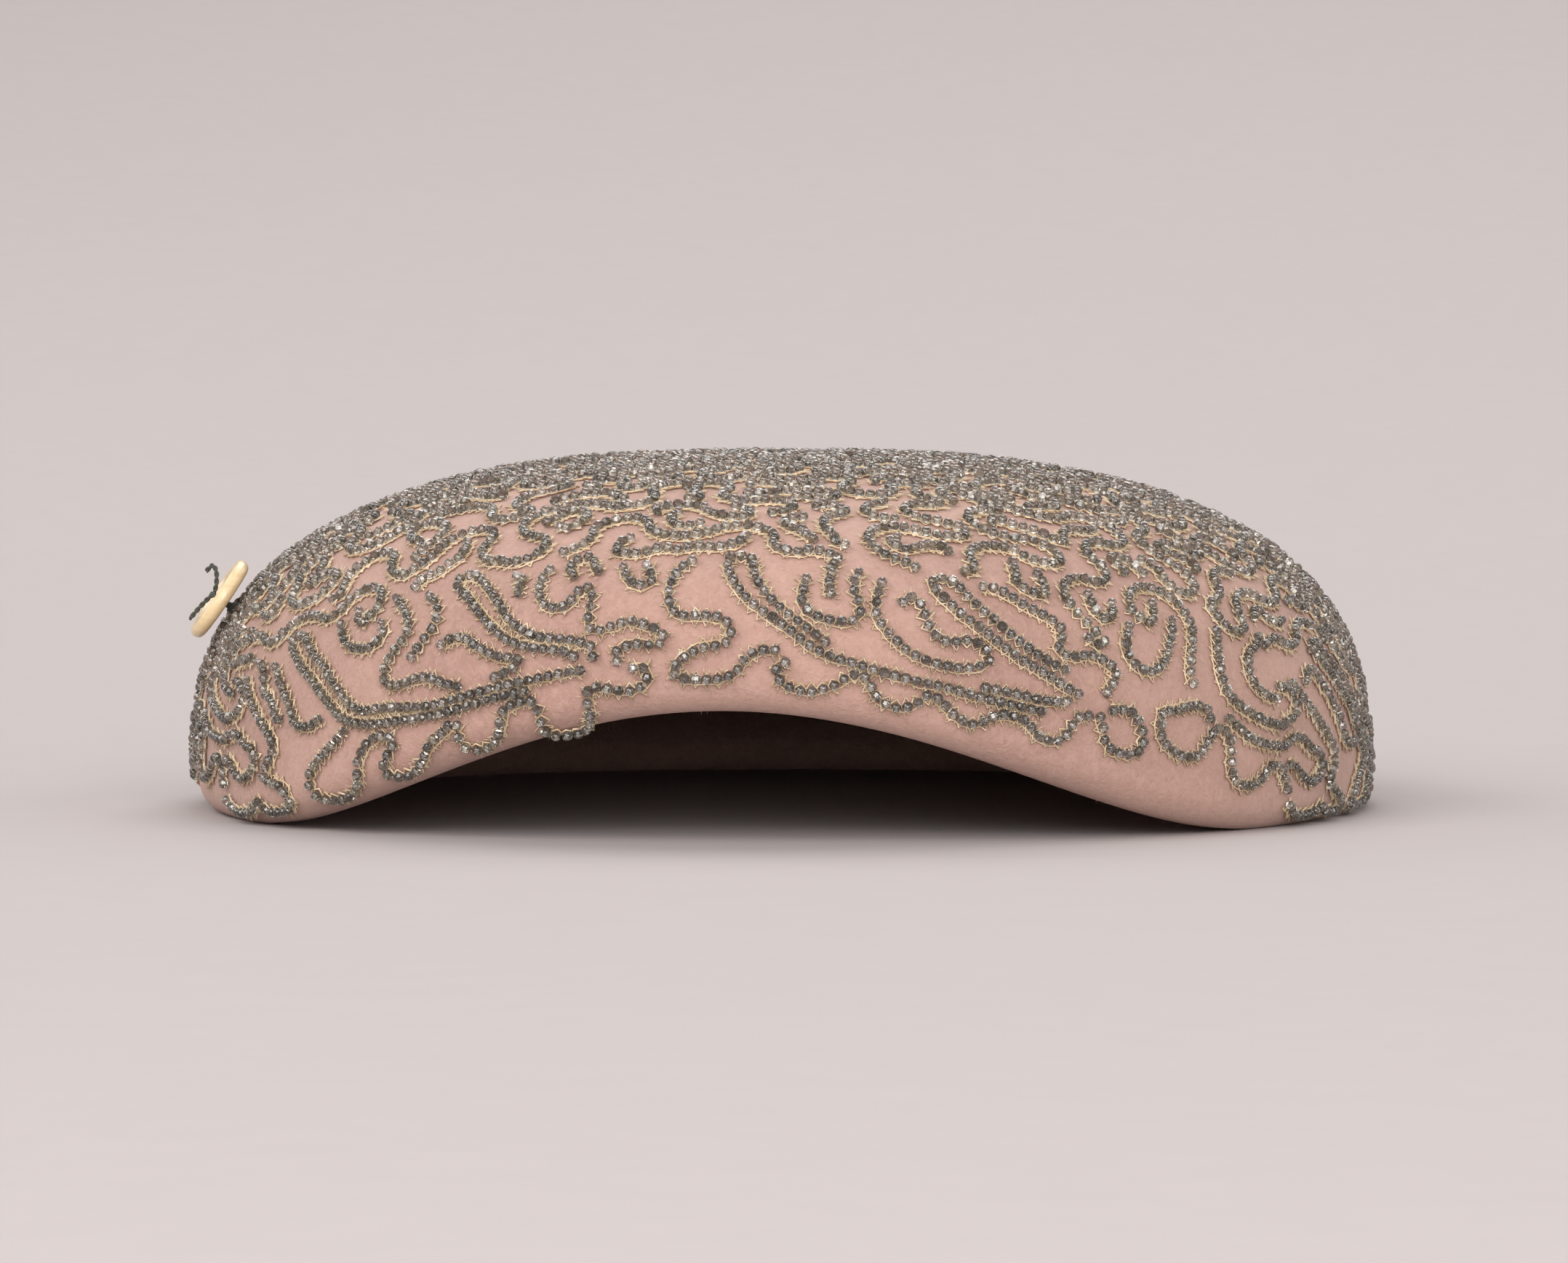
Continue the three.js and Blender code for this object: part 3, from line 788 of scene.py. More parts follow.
def twisted(path, radius, plies, turns_per_mm, sides):
    """Tubes wound about a path."""
    run = run_along(path)
    _, first, second = carried_frames(path)
    tubes = []
    for ply in range(plies):
        angle = 2 * math.pi * (turns_per_mm * run + ply / plies)
        shift = first * np.cos(angle)[:, None] + second * np.sin(angle)[:, None]
        tubes.append(tube(path + shift * radius * PLY_ASIDE, radius * PLY_RADIUS, sides))
    return tubes


def joined(meshes):
    """One array of points, and one of faces for each count of corners, from many small meshes."""
    points, faces, first = [], {}, 0
    for mesh_points, mesh_faces in meshes:
        points.append(mesh_points)
        for group in mesh_faces:
            faces.setdefault(np.shape(group)[1], []).append(group + first)
        first += len(mesh_points)
    return np.concatenate(points), [np.concatenate(groups) for groups in faces.values()]


# %% Ribbon stitches
ribbon_thread = Finish("ribbon_thread")
thread_fuzz = ribbon_thread.noise(3000, detail=2)
STITCH_DEEP, STITCH_PALE = colour(0.33, 0.19, 0.12), colour(0.52, 0.33, 0.22)
ribbon_thread_material = ribbon_thread.surface(
    Base_Color=ribbon_thread.tint(thread_fuzz, STITCH_DEEP, STITCH_PALE),
    Roughness=0.6 + thread_fuzz * 0.2,
)
STITCH_PITCH, STITCH_LENGTH, STITCH_ABOVE_EDGE = 3.6, 2.5, 2.2
STITCH_PROUD, STITCH_DIP, STITCH_SLANT, STITCH_RADIUS = 0.16, 0.45, 0.3, 0.2
STITCH_STEPS, STITCH_SIDES = 7, 5
stitch_tubes = []
turn_per_mm = (2 * math.pi - 2 * ribbon_start) / ribbon_length
for number in range(int(ribbon_length / STITCH_PITCH)):
    reach = np.linspace(-0.5, 0.5, STITCH_STEPS)
    turn = ribbon_start + ((number + 0.5) * STITCH_PITCH + reach * STITCH_LENGTH) * turn_per_mm
    proud = RIBBON_THICKNESS + RIB_HEIGHT + STITCH_PROUD - STITCH_DIP * (2 * np.abs(reach)) ** 4
    path = ribbon_place(turn, RIBBON_ABOVE_EDGE + STITCH_ABOVE_EDGE + STITCH_SLANT * reach, proud)
    stitch_tubes.append(tube(path, STITCH_RADIUS, STITCH_SIDES))
stitch_points, stitch_faces = joined(stitch_tubes)
stitches = make_piece("ribbon_stitches", stitch_points, stitch_faces, ribbon_thread_material)

# %% [markdown]
# ## The button
# The button is a thick cream disc with a rounded edge and a shallow dish, sewn through two holes. Its
# outline is turned on a lathe of vertices and the holes are cut with a boolean, as they would be
# drilled. It stands off the felt on a thread shank, tilted square to the felt.

# %% Button finish
ivory = Finish("ivory_button")
swirl = ivory.noise(160, detail=3, place=ivory.stretched((1.0, 1.0, 4.0)), distortion=1.6)
age = ivory.sharpen(ivory.noise(420, detail=2), low=0.45, high=0.80)
IVORY_DEEP, IVORY_PALE = colour(0.62, 0.455, 0.235), colour(0.82, 0.67, 0.425)
IVORY_AGED = colour(0.47, 0.31, 0.15)
ivory_base = ivory.tint(swirl, IVORY_DEEP, IVORY_PALE)
ivory_base = ivory.tint(age * 0.22, ivory_base, IVORY_AGED)
ivory_material = ivory.surface(
    Base_Color=ivory_base,
    Roughness=0.26 + age * 0.2,
    Normal=ivory.bump(swirl, depth=0.0002, strength=0.25),
    Coat_Weight=0.3,
    Subsurface_Weight=0.08,
    Subsurface_Scale=0.002,
)

# %% The button's seat on the felt
BUTTON_RADIUS, BUTTON_THICKNESS, BUTTON_STANDOFF = 10.0, 3.2, 3.8
BUTTON_TURN, BUTTON_WALL_ANGLE = math.radians(-75.5), math.radians(25)
DISH_RADIUS, DISH_FLOOR, DISH_DEPTH = 6.2, 5.0, 0.8
HOLE_RADIUS, HOLE_SPACING, HOLE_SIDES, HOLE_REACH = 1.0, 4.0, 28, (2.0, 9.0)
BUTTON_SIDES, SHARP_EDGE = 72, math.radians(38)
seat_height = RIM_CENTRE + (HEIGHT - RIM_CENTRE) * math.sin(BUTTON_WALL_ANGLE) ** (2 / WALL_EXPONENT)
wall_part = section_up >= 0
seat_up = float(np.interp(seat_height, section_height[wall_part], section_up[wall_part]))
seat_turn = np.array([BUTTON_TURN])
seat_point = felt_form(seat_turn, np.array([seat_up]))[0]
seat_out = felt_out(seat_turn, np.array([seat_up]))[0]
seat_beside = felt_form(seat_turn + BESIDE_TURN, np.array([seat_up]))[0]
seat_across = unit(seat_beside - seat_point)
seat_along = unit(np.cross(seat_out, seat_across))
seat_across = np.cross(seat_along, seat_out)


def on_seat(across, along, above):
    """Points beside the button: across towards the front, along up the felt, above off the felt."""
    across, along, above = np.broadcast_arrays(across, along, above)
    axes = np.stack([seat_across, seat_along, seat_out])
    return seat_point + np.stack([across, along, above], axis=-1) @ axes


# %% Turn the button and drill it
edge = BUTTON_THICKNESS / 2
floor_level = BUTTON_THICKNESS - DISH_DEPTH
button_back = [{"radius": 6.0, "level": 0.0}, {"radius": 8.0, "level": 0.0}]
button_edge = [
    {"radius": BUTTON_RADIUS - edge + edge * math.cos(bow), "level": edge + edge * math.sin(bow)}
    for bow in np.radians(np.arange(-80, 81, 16))
]
button_dish = [
    {"radius": DISH_RADIUS + edge * 0.9, "level": BUTTON_THICKNESS},
    {"radius": DISH_RADIUS + 0.5, "level": BUTTON_THICKNESS - 0.12},
    {"radius": DISH_RADIUS, "level": BUTTON_THICKNESS - 0.4},
    {"radius": DISH_RADIUS - 0.6, "level": floor_level + 0.12},
    {"radius": DISH_FLOOR, "level": floor_level},
    {"radius": 3.6, "level": floor_level},
]
button_outline = [*button_back, *button_edge, *button_dish]
button_radius = read_column(button_outline, "radius")
button_level = BUTTON_STANDOFF + read_column(button_outline, "level")
button_rings = lathe(button_radius, button_level, BUTTON_SIDES).reshape(-1, 3)
button_faces = capped_rings(len(button_outline), BUTTON_SIDES)
button = make_piece("cream_button", on_seat(*button_rings.T), button_faces, ivory_material)
for side in (-1, 1):
    hole_path = on_seat(side * HOLE_SPACING / 2, 0.0, HOLE_REACH)
    hole_points, hole_groups = tube(hole_path, HOLE_RADIUS, HOLE_SIDES)
    drill_mesh = bpy.data.meshes.new("drill")
    drill_faces = [face.tolist() for group in hole_groups for face in group]
    drill_mesh.from_pydata((hole_points * MM).tolist(), [], drill_faces)
    drill = add_object("drill", drill_mesh)
    cut = button.modifiers.new("hole", "BOOLEAN")
    cut.operation, cut.object, cut.solver = "DIFFERENCE", drill, "EXACT"
    evaluated = button.evaluated_get(bpy.context.evaluated_depsgraph_get())
    drilled = bpy.data.meshes.new_from_object(evaluated)
    button.modifiers.clear()
    button.data = drilled
    bpy.data.objects.remove(drill)
button.data.shade_smooth()
button.data.set_sharp_from_angle(angle=SHARP_EDGE)
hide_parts("button")
print(f"button drilled: {len(button.data.polygons)} faces, seat at {np.round(seat_point, 1).tolist()} mm")

# %% Thread through the button
dark = Finish("dark_thread")
dark_fibre = dark.noise(2600, detail=3)
DARK_DEEP, DARK_PALE = colour(0.018, 0.019, 0.014), colour(0.075, 0.078, 0.060)
dark_material = dark.surface(
    Base_Color=dark.tint(dark_fibre, DARK_DEEP, DARK_PALE),
    Roughness=0.55 + dark_fibre * 0.3,
    Normal=dark.bump(dark_fibre, depth=0.0002, strength=0.5),
    Sheen_Weight=0.2,
)
THREAD_RADIUS = 0.55
THREAD_PLIES, THREAD_TURNS_PER_MM, THREAD_SIDES, THREAD_SPAN_STEPS = 2, 0.32, 8, 12
face_level = BUTTON_STANDOFF + floor_level + SEAT_GAP + THREAD_RADIUS
loop = [(0, 0, 0), (0.8, 2.2, 0.8), (0.4, 4.6, 2.4), (-0.6, 5.2, 3.8), (-1.4, 3.4, 4.2)]
tail = [(0, 0, 0.2), (-0.6, -3.2, 0.8), (0.4, -7.4, 1.3)]
half = HOLE_SPACING / 2
stitch = [(-half, 0, -3.2), (-half, 0, -0.2), (0, 0, 0.3), (half, 0, -0.2), (half, 0, -3.2)]
thread_tubes = []
for route in (loop, tail, stitch):
    across, along, above = np.array(route, float).T
    path = smooth_path(on_seat(across, along, above + face_level), THREAD_SPAN_STEPS)
    thread_tubes += twisted(path, THREAD_RADIUS, THREAD_PLIES, THREAD_TURNS_PER_MM, THREAD_SIDES)

# %% Wound shank under the button
SHANK_STRANDS, SHANK_STRAND_RADIUS, SHANK_SPAN_STEPS, TIE_BREAK = 8, 0.3, 8, 0.01
SHANK_FOOT = {"radius": 1.25, "above": 0.25}
SHANK_WAIST = {"radius": 0.75, "above": 1.9}
SHANK_HEAD = {"radius": 0.35, "above": 3.6, "hole_share": 0.8}
SHANK_WRAPS, WRAP_RADIUS, WRAP_THREAD, WRAP_FROM, WRAP_OVER = 4, 1.1, 0.26, 0.9, 1.7
WRAP_STEPS = 90
for strand in range(SHANK_STRANDS):
    spoke = 2 * math.pi * strand / SHANK_STRANDS
    hole_side = half * math.copysign(1, math.cos(spoke) + TIE_BREAK)
    stops = (SHANK_FOOT, SHANK_WAIST, SHANK_HEAD)
    across, along, above = np.array([
        (
            hole_side * stop.get("hole_share", 0.0) + stop["radius"] * math.cos(spoke),
            stop["radius"] * math.sin(spoke),
            stop["above"],
        )
        for stop in stops
    ]).T
    strand_path = smooth_path(on_seat(across, along, above), SHANK_SPAN_STEPS)
    thread_tubes.append(tube(strand_path, SHANK_STRAND_RADIUS))
wrap = np.linspace(0, 1, WRAP_STEPS)
coil = 2 * math.pi * SHANK_WRAPS * wrap
wrap_path = on_seat(WRAP_RADIUS * np.cos(coil), WRAP_RADIUS * np.sin(coil), WRAP_FROM + WRAP_OVER * wrap)
thread_tubes.append(tube(wrap_path, WRAP_THREAD))
sewing_points, sewing_faces = joined(thread_tubes)
sewing = make_piece("button_sewing", sewing_points, sewing_faces, dark_material)
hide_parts("button_thread")

# %% [markdown]
# ## The bead rows, charted
# The beads were strung and couched along freehand scrolls: fingers that hang towards the rim, long
# doubled lines above them, and curls that double back. Each row is charted as a few points, its
# turn in degrees and its distance up the felt in millimetres, and a smooth curve joins them. The front
# is charted as it is seen. Nothing shows the back and the crown, so the same rows are carried round to
# the back, and others wander over the crown.

# %% Chart of the front, one list of (turn, up) for each row
ROWS = {
    "left_finger": [
        (-57.4, 25), (-55.8, 21.6), (-53.9, 18), (-52.1, 14.8), (-50.5, 12.2), (-49.5, 9.6), (-49.9, 7),
        (-51, 4.8), (-51, 2.8), (-49.7, 1.6), (-48, 0.2), (-47, -2.2), (-47.3, -5), (-48.7, -6.6),
        (-50.3, -6.3), (-51.5, -4.5), (-52.3, -2), (-53.3, -2.8), (-54.7, -5.4), (-56.5, -6.5), (-58, -5.3),
        (-58.9, -3), (-60, -1),
    ],
    "two_fingers": [
        (-38.4, 9.5), (-40, 6.6), (-42, 4), (-43.3, 1), (-43.3, -2), (-42.2, -5), (-40, -6.7), (-38, -5.6),
        (-37, -2.5), (-36.7, 1), (-35.7, 4), (-34.4, 5), (-33, 4), (-32.4, 2), (-33.2, -0.6), (-33.9, -3),
        (-33, -5.2), (-31.2, -6.2), (-29.7, -4), (-28.3, -1), (-26.8, 0.4), (-25.9, 2.4),
    ],
    "long_finger": [
        (-25.3, 2.4), (-25.3, 0), (-25.2, -3), (-24.3, -5.2), (-23, -5.8), (-21.7, -4.6), (-21.1, -2),
        (-20.7, 0.6), (-19.7, 2), (-18.3, 2), (-17.4, 0.4), (-17.1, -3), (-16.9, -6.5), (-15.9, -9),
        (-14.2, -9.6), (-12.9, -7.5), (-12.4, -4), (-12.5, -0.5), (-12, 1.6), (-10.5, 0.4), (-9, -0.7),
        (-7.6, -0.6), (-6.9, 1.5), (-6.8, 4), (-7.4, 6.2), (-8.6, 5.4),
    ],
    "left_scroll": [
        (-9.2, 7.4), (-9.9, 10.3), (-9.2, 13), (-7.6, 13.6), (-6.2, 12.7), (-5.2, 14), (-5.6, 16.6),
        (-6.8, 19.3), (-8.4, 21), (-10, 20.6), (-11.2, 19.4), (-12.2, 20), (-12.6, 22.6), (-12.6, 26),
        (-12.6, 29.4), (-12.8, 32.6), (-13.6, 34.4), (-14.4, 32.5), (-14.8, 29.6), (-15.8, 28.6),
        (-17.2, 30), (-18.2, 34), (-18.6, 39), (-18, 44),
    ],
    "middle_wave": [
        (-3, 43), (-4.4, 38.6), (-5, 34), (-5.1, 29), (-4.7, 24.5), (-3.8, 22), (-2, 21.6), (-0.4, 21.2),
        (0.6, 19.2), (0.9, 16), (0.6, 13.2), (-0.4, 11.8), (-1.8, 11), (-3.2, 8.6), (-4.2, 5.3),
        (-4.4, 2.6), (-3.3, 0.9), (-1.5, 0.3), (0.3, 1), (1.4, 3.3), (1.9, 6.3), (2.7, 9.2), (4, 10.9),
        (5.4, 11),
    ],
    "right_waves": [
        (6.2, 8.6), (5.6, 6.2), (5, 4.2), (5.2, 1.4), (6.2, -0.5), (8, -0.9), (9.7, 0.5), (10.8, 3.2),
        (11.6, 5.6), (12.5, 6.6), (13.2, 5.6), (13.6, 3.4), (14, 0.8), (15.2, -0.8), (16.7, -0.5),
        (17.8, 1.6), (18.4, 4), (19.2, 4.8), (20.1, 3.8), (20.9, 1.6), (22.1, 0), (23.4, 0.2), (24.4, 2.6),
        (25.6, 4.8), (27.2, 5.4), (28.4, 4.2), (29.2, 2.2), (30.4, 1.8), (31.6, 3.2), (32.3, 6),
        (32.8, 8.4), (33.7, 10.6), (34.8, 11),
    ],
    "right_ring": [
        (35.4, 12.6), (35.9, 9), (36, 6), (36.9, 4.2), (38.4, 4.2), (39.7, 6), (40.2, 9), (39.8, 12.4),
        (38.8, 14.6), (37.5, 14.2), (36.5, 13.2),
    ],
    "far_finger": [
        (48.4, 15.4), (48.8, 17.4), (47.8, 18.8), (46, 18.4), (44.2, 16.6), (42.9, 16.4), (42.3, 13.4),
        (42.4, 10), (43.5, 7.7), (45, 7), (46.7, 7.9), (47.8, 10.6), (48.7, 13.2), (50, 14.6), (51, 12.6),
        (51.2, 9.2), (51, 6), (51.7, 3.6), (53.3, 2.6), (55, 3.7), (56.3, 6), (57.6, 7.2), (58.9, 6),
        (59.5, 3.4), (60, 0.6),
    ],
    "left_double": [
        (-18, 5), (-20, 5.2), (-22, 5.4), (-24, 5.4), (-26, 5.3), (-28, 5.7), (-30, 6.4), (-32, 7.2),
        (-34, 8), (-36, 9), (-38, 10.8), (-39.8, 13.4), (-41.4, 17), (-43, 20.4), (-45, 24), (-47.2, 27.4),
        (-49, 30.6), (-50, 32.8), (-48.8, 34.4), (-47.4, 33), (-45.6, 29.6), (-43.4, 26.4), (-41.6, 22.6),
        (-40, 19), (-38.4, 15.4), (-36.6, 12.6), (-34.8, 12), (-32.8, 11.2), (-30.8, 9.9), (-28.8, 8.7),
        (-26.5, 8.2), (-24, 8.3), (-21, 8.3), (-18, 8), (-15, 8), (-12.6, 7.6),
    ],
    "left_rise": [
        (-12.1, 9.9), (-11.8, 12.4), (-12.3, 15.2), (-13.6, 17.2), (-15.6, 19), (-17.6, 20.8),
        (-19.2, 23.6), (-20.6, 27), (-21.8, 31), (-23, 35), (-24.6, 39.5), (-26.5, 44), (-27.8, 45.2),
        (-28.9, 43.6), (-28.2, 41), (-26.2, 36.5), (-24.6, 32), (-23.2, 28), (-21.7, 24), (-20, 20.4),
        (-18, 17.6), (-16, 15.9), (-14.4, 14), (-13.3, 11.4),
    ],
    "left_leaf": [
        (-28.4, 24), (-27.2, 25.6), (-25.6, 25.2), (-24.4, 22.8), (-23, 20), (-21.4, 17.2), (-19.8, 15.8),
        (-19.2, 14.2), (-20, 12.4), (-21.6, 11.4), (-23.6, 11), (-25.4, 11.6), (-27, 13.6), (-28.4, 15.8),
        (-30, 17), (-31.6, 16.4), (-33.2, 16.8), (-34.2, 19.4), (-34.2, 23), (-33.4, 26.4), (-32.6, 29.6),
        (-33, 33.6), (-34.6, 38), (-36.6, 42),
    ],
    "left_curl": [
        (-43, 37), (-41.6, 32.6), (-40, 29.6), (-38.2, 28.4), (-36.6, 28.8), (-35.9, 31.6), (-37, 35.5),
    ],
    "left_hook": [
        (-51.8, 28), (-50, 24), (-48.2, 20.2), (-47, 16.8), (-46.2, 14), (-44.8, 12.4), (-43.2, 12.6),
        (-42, 13.6),
    ],
    "left_knot": [
        (-60, 11.4), (-58.4, 12.6), (-56.6, 12.2), (-55.2, 10.2), (-53.6, 9.4), (-52.9, 7), (-53.8, 4.2),
        (-55.6, 3), (-57.4, 4.4), (-58.8, 6.6), (-60, 7),
    ],
    "left_knot_above": [(-60, 16), (-58, 17), (-57, 20), (-58, 23), (-60, 24)],
    "right_double": [
        (30, 8.8), (28, 8.5), (26, 8.2), (24, 8), (22, 8.2), (20, 8.2), (18, 8.1), (16, 8.3), (14, 8.8),
        (12, 9.8), (10.2, 10.6), (8.7, 12.4), (7.3, 15.2), (6.1, 18.2), (4.8, 21.2), (3.4, 24.4),
        (2.2, 27.8), (1.4, 31.4), (0.6, 36), (0.2, 41), (0.6, 43.2), (2, 43.4), (2.8, 41.6), (2.8, 38.6),
        (3.2, 34), (4, 29.8), (5.1, 25.8), (6.5, 22.2), (7.9, 18.8), (9.2, 15.8), (10.4, 13.8), (11.8, 13),
        (13.4, 12.4), (15, 11.5), (17, 11.1), (19, 11), (21, 11), (23, 10.9), (25, 11.1), (27, 11.5),
        (29, 11.6), (31, 12.2), (32.6, 13.4),
    ],
    "right_cup": [
        (8, 37), (7.7, 33), (7.4, 29), (7.6, 25.8), (8.7, 23.2), (10.2, 22.2), (11.8, 22.6), (12.7, 25),
        (12.8, 28.4), (12.4, 32.4), (12.6, 37), (13.4, 41),
    ],
    "right_scroll": [
        (15.4, 38), (14.8, 34), (14.4, 29.8), (14.3, 25.8), (15, 22), (16, 18.8), (17.2, 16.2),
        (18.8, 14.8), (20.6, 14.4), (22.2, 15), (23.6, 16.4), (24.6, 18.4), (24.7, 20.6), (23.9, 22.6),
        (22.7, 23), (21.5, 21.8), (20.4, 21.6), (19.4, 23.4), (19, 26.8), (18.8, 30.2), (18.1, 32.8),
        (17.2, 32.2), (16.7, 29.4),
    ],
    "right_fall": [
        (33.8, 15.4), (32.4, 16.4), (31.2, 17.8), (29.8, 19.2), (28.3, 20.6), (26.9, 22.4), (25.6, 24.6),
        (24.2, 27.2), (22.8, 29.8), (21.6, 33), (20.4, 37), (20.4, 39.6), (21.6, 41), (22.9, 40),
        (23.2, 37.6), (24.4, 33.6), (25.7, 30.4), (27, 27.6), (28.3, 25.2), (29.6, 23.2), (31.1, 21.8),
        (32.7, 20.6),
    ],
    "right_curl": [
        (28, 39), (29.6, 36.4), (31, 35), (32.5, 33), (32.7, 30), (32, 27.4), (32.2, 25.2), (33.4, 24.8),
        (34.6, 25.8), (35.8, 26.2), (37, 25.4), (37.9, 23.6), (37.5, 21.2), (36.8, 18.6), (36.2, 16.6),
    ],
    "far_cup": [
        (47.6, 40), (46.6, 36), (45.4, 32), (44.3, 28.6), (43, 26), (41.6, 25), (40.3, 26.4), (39.8, 29.4),
        (40.4, 33), (41.4, 37),
    ],
    "far_stem": [(50, 38), (49, 34), (48, 30), (47.2, 26), (47.3, 22.4)],
    "far_fall": [
        (53.6, 38), (52.4, 33), (51.6, 28), (51.8, 23), (53.2, 20), (55.2, 18), (57.2, 16.4), (60, 15.2),
    ],
    "far_line": [(51, 17.4), (52.6, 15), (54.4, 12.8), (56.2, 11.8), (58, 11.2), (60, 11)],
    "far_curl": [(60, 21), (58, 22), (56.4, 24.6), (56, 28), (57, 31.4), (59, 33.4), (60, 36)],
    "high_left": [(-31, 24), (-30, 28), (-29.4, 32), (-30, 36.4), (-32, 41)],
    "high_far_left": [
        (-60, 33), (-57.4, 34.6), (-55, 33), (-53, 34), (-51.6, 37.2), (-49, 39.4), (-46, 38.4),
    ],
    "high_middle": [(-10.4, 42), (-9.6, 37), (-8.4, 33.4), (-7, 34.4), (-7.4, 38.4), (-8.2, 42)],
    "high_right": [(34.6, 41), (35.4, 37), (36.6, 33), (37.4, 30), (36.4, 29.4), (35.2, 31.6)],
}
print(len(ROWS), "rows charted,", sum(map(len, ROWS.values())), "points")

# %% [markdown]
# ## Carrying the chart round
# The front chart is 120 degrees wide, so it goes round the dome three times, and its rows are charted to
# meet where two copies join. At the sides the rows come lower, as the real ones do. There the rim is on
# the table, so what hangs below the widest line is drawn up until a bead clears it.

# %% Carry the rows round the dome
CHART_WIDTH = 120.0
LOWER_FROM, LOWER_OVER, LOWERED = 60.0, 25.0, 4.0
TABLE_ROOM, ARCH_ROOM = 4.4, 0.6


def carried(row, by):
    turn, up = np.array(row, float).T
    turn = turn + by
    lower = np.clip((np.abs(turn) - LOWER_FROM) / LOWER_OVER, 0, 1)
    up = up - LOWERED * lower * lower * (3 - 2 * lower)
    room = TABLE_ROOM + ARCH_ROOM * front_arch(np.radians(turn))
    return turn, np.where(up < 0, -room * np.tanh(-up / room), up)


charted_rows = [carried(row, by) for by in (0.0, CHART_WIDTH, -CHART_WIDTH) for row in ROWS.values()]
print(len(charted_rows), "rows carried round the dome")

# %% [markdown]
# ## Beads along the rows
# Each row is walked at the beads' pitch. A bead that would touch one already sewn is left out, as the
# embroiderer ends a row where it meets another, and a run of fewer than four beads is dropped.

# %% Walk the charted rows
BEAD_DIAMETER, BEAD_LENGTH, BEAD_PITCH = 2.2, 2.05, 2.33
BEAD_CLEARANCE = 2.1
SHORTEST_RUN = 4
SHANK_CLEARANCE = 3.4
CURVE_STEPS = 14


def walked(turn, up):
    """Places along a row at the beads' pitch, each a turn in radians and a distance up."""
    chart = smooth_path(np.stack([np.radians(turn), up], axis=-1), CURVE_STEPS)
    line = felt_form(chart[:, 0], chart[:, 1])
    run = run_along(line)
    count = int(run[-1] / BEAD_PITCH)
    stops = (np.arange(count) + 0.5) * run[-1] / max(count, 1)
    return np.stack([np.interp(stops, run, chart[:, k]) for k in range(2)], axis=-1)


rows = []
sewn = np.zeros((0, 3))
for turn, up in charted_rows:
    row = walked(turn, up)
    run = []
    for number, bead in enumerate(felt_form(*row.T)):
        others = sewn[:-1] if run else sewn
        clear = np.linalg.norm(bead - seat_point) > SHANK_CLEARANCE
        if clear and len(others):
            clear = np.linalg.norm(others - bead, axis=1).min() > BEAD_CLEARANCE
        if clear:
            run.append(number)
            sewn = np.concatenate([sewn, bead[None]])
        if run and (not clear or number == len(row) - 1):
            if len(run) < SHORTEST_RUN:
                sewn = sewn[: len(sewn) - len(run)]
            else:
                rows.append(row[run])
            run = []
print(len(rows), "charted runs of", len(sewn), "beads")

# %% [markdown]
# ## Beads that wander
# Above the charted rows the embroidery is vermicelli: a line that bends one way, then the other, and
# never crosses itself. A walker makes it. It bends as it likes while the felt ahead is bare, turns away
# from any row that it comes near, and stops where no way is left. Walkers go on from the upper ends of
# the charted rows first, and then new ones start in the bare places.

# %% A walker
WANDER_CLEARANCE, WANDER_START_CLEARANCE = 4.6, 5.0
WANDER_LOWEST, WANDER_HIGHEST = 9.0, UP_CROWN - 5
WANDER_LONGEST = 50
WANDER_BEND_RADIUS, WANDER_BEND_SWEEP = (4.2, 10.0), (90, 230)
WANDER_TRIES = 900
GO_ON_ABOVE = 22.0
WALK_TURN_STEP, SAME_BEAD = 0.01, 0.1
wander_draw = np.random.default_rng(8)
turn_aside = np.radians([0, 18, -18, 36, -36, 54, -54, 72, -72])


def mm_per_radian(turn, up):
    """How far a bead moves over the felt for each radian of turn."""
    beside = felt_form(np.array([turn, turn + WALK_TURN_STEP]), np.array([up, up]))
    return np.linalg.norm(beside[1] - beside[0]) / WALK_TURN_STEP


def wander(turn, up, heading, known):
    """A row of places, one bead apart, that keeps clear of the known beads and of itself."""
    row = [(turn, up)]
    own = felt_form(np.array([turn]), np.array([up]))
    hand, left = wander_draw.choice([-1, 1]), 0.0
    while len(row) < WANDER_LONGEST:
        if left <= 0:
            hand = -hand
            bend = 1 / wander_draw.uniform(*WANDER_BEND_RADIUS)
            left = math.radians(wander_draw.uniform(*WANDER_BEND_SWEEP))
        ways = heading + hand * bend * BEAD_PITCH + turn_aside
        next_turn = turn + BEAD_PITCH * np.cos(ways) / mm_per_radian(turn, up)
        next_up = up + BEAD_PITCH * np.sin(ways)
        ahead = felt_form(next_turn, next_up)
        # Its own last two beads are always near, so they do not count.
        others = np.concatenate([known, own[:-2]])
        nearest = np.linalg.norm(others[None] - ahead[:, None], axis=2).min(1)
        open_way = (nearest > WANDER_CLEARANCE) & (next_up > WANDER_LOWEST) & (next_up < WANDER_HIGHEST)
        open_way &= np.linalg.norm(ahead - seat_point, axis=1) > SHANK_CLEARANCE
        if not open_way.any():
            break
        pick = open_way.argmax()
        if turn_aside[pick] * hand < 0:
            hand, left = -hand, math.pi / 2
        left -= bend * BEAD_PITCH
        # Lines of equal turn close in towards the crown, so a straight way over the felt turns on the chart.
        lie = felt_out(next_turn[pick : pick + 1], next_up[pick : pick + 1])[0, 2]
        heading = ways[pick] - lie * (next_turn[pick] - turn)
        turn, up = next_turn[pick], next_up[pick]
        row.append((turn, up))
        own = np.concatenate([own, ahead[pick : pick + 1]])
    return row, own


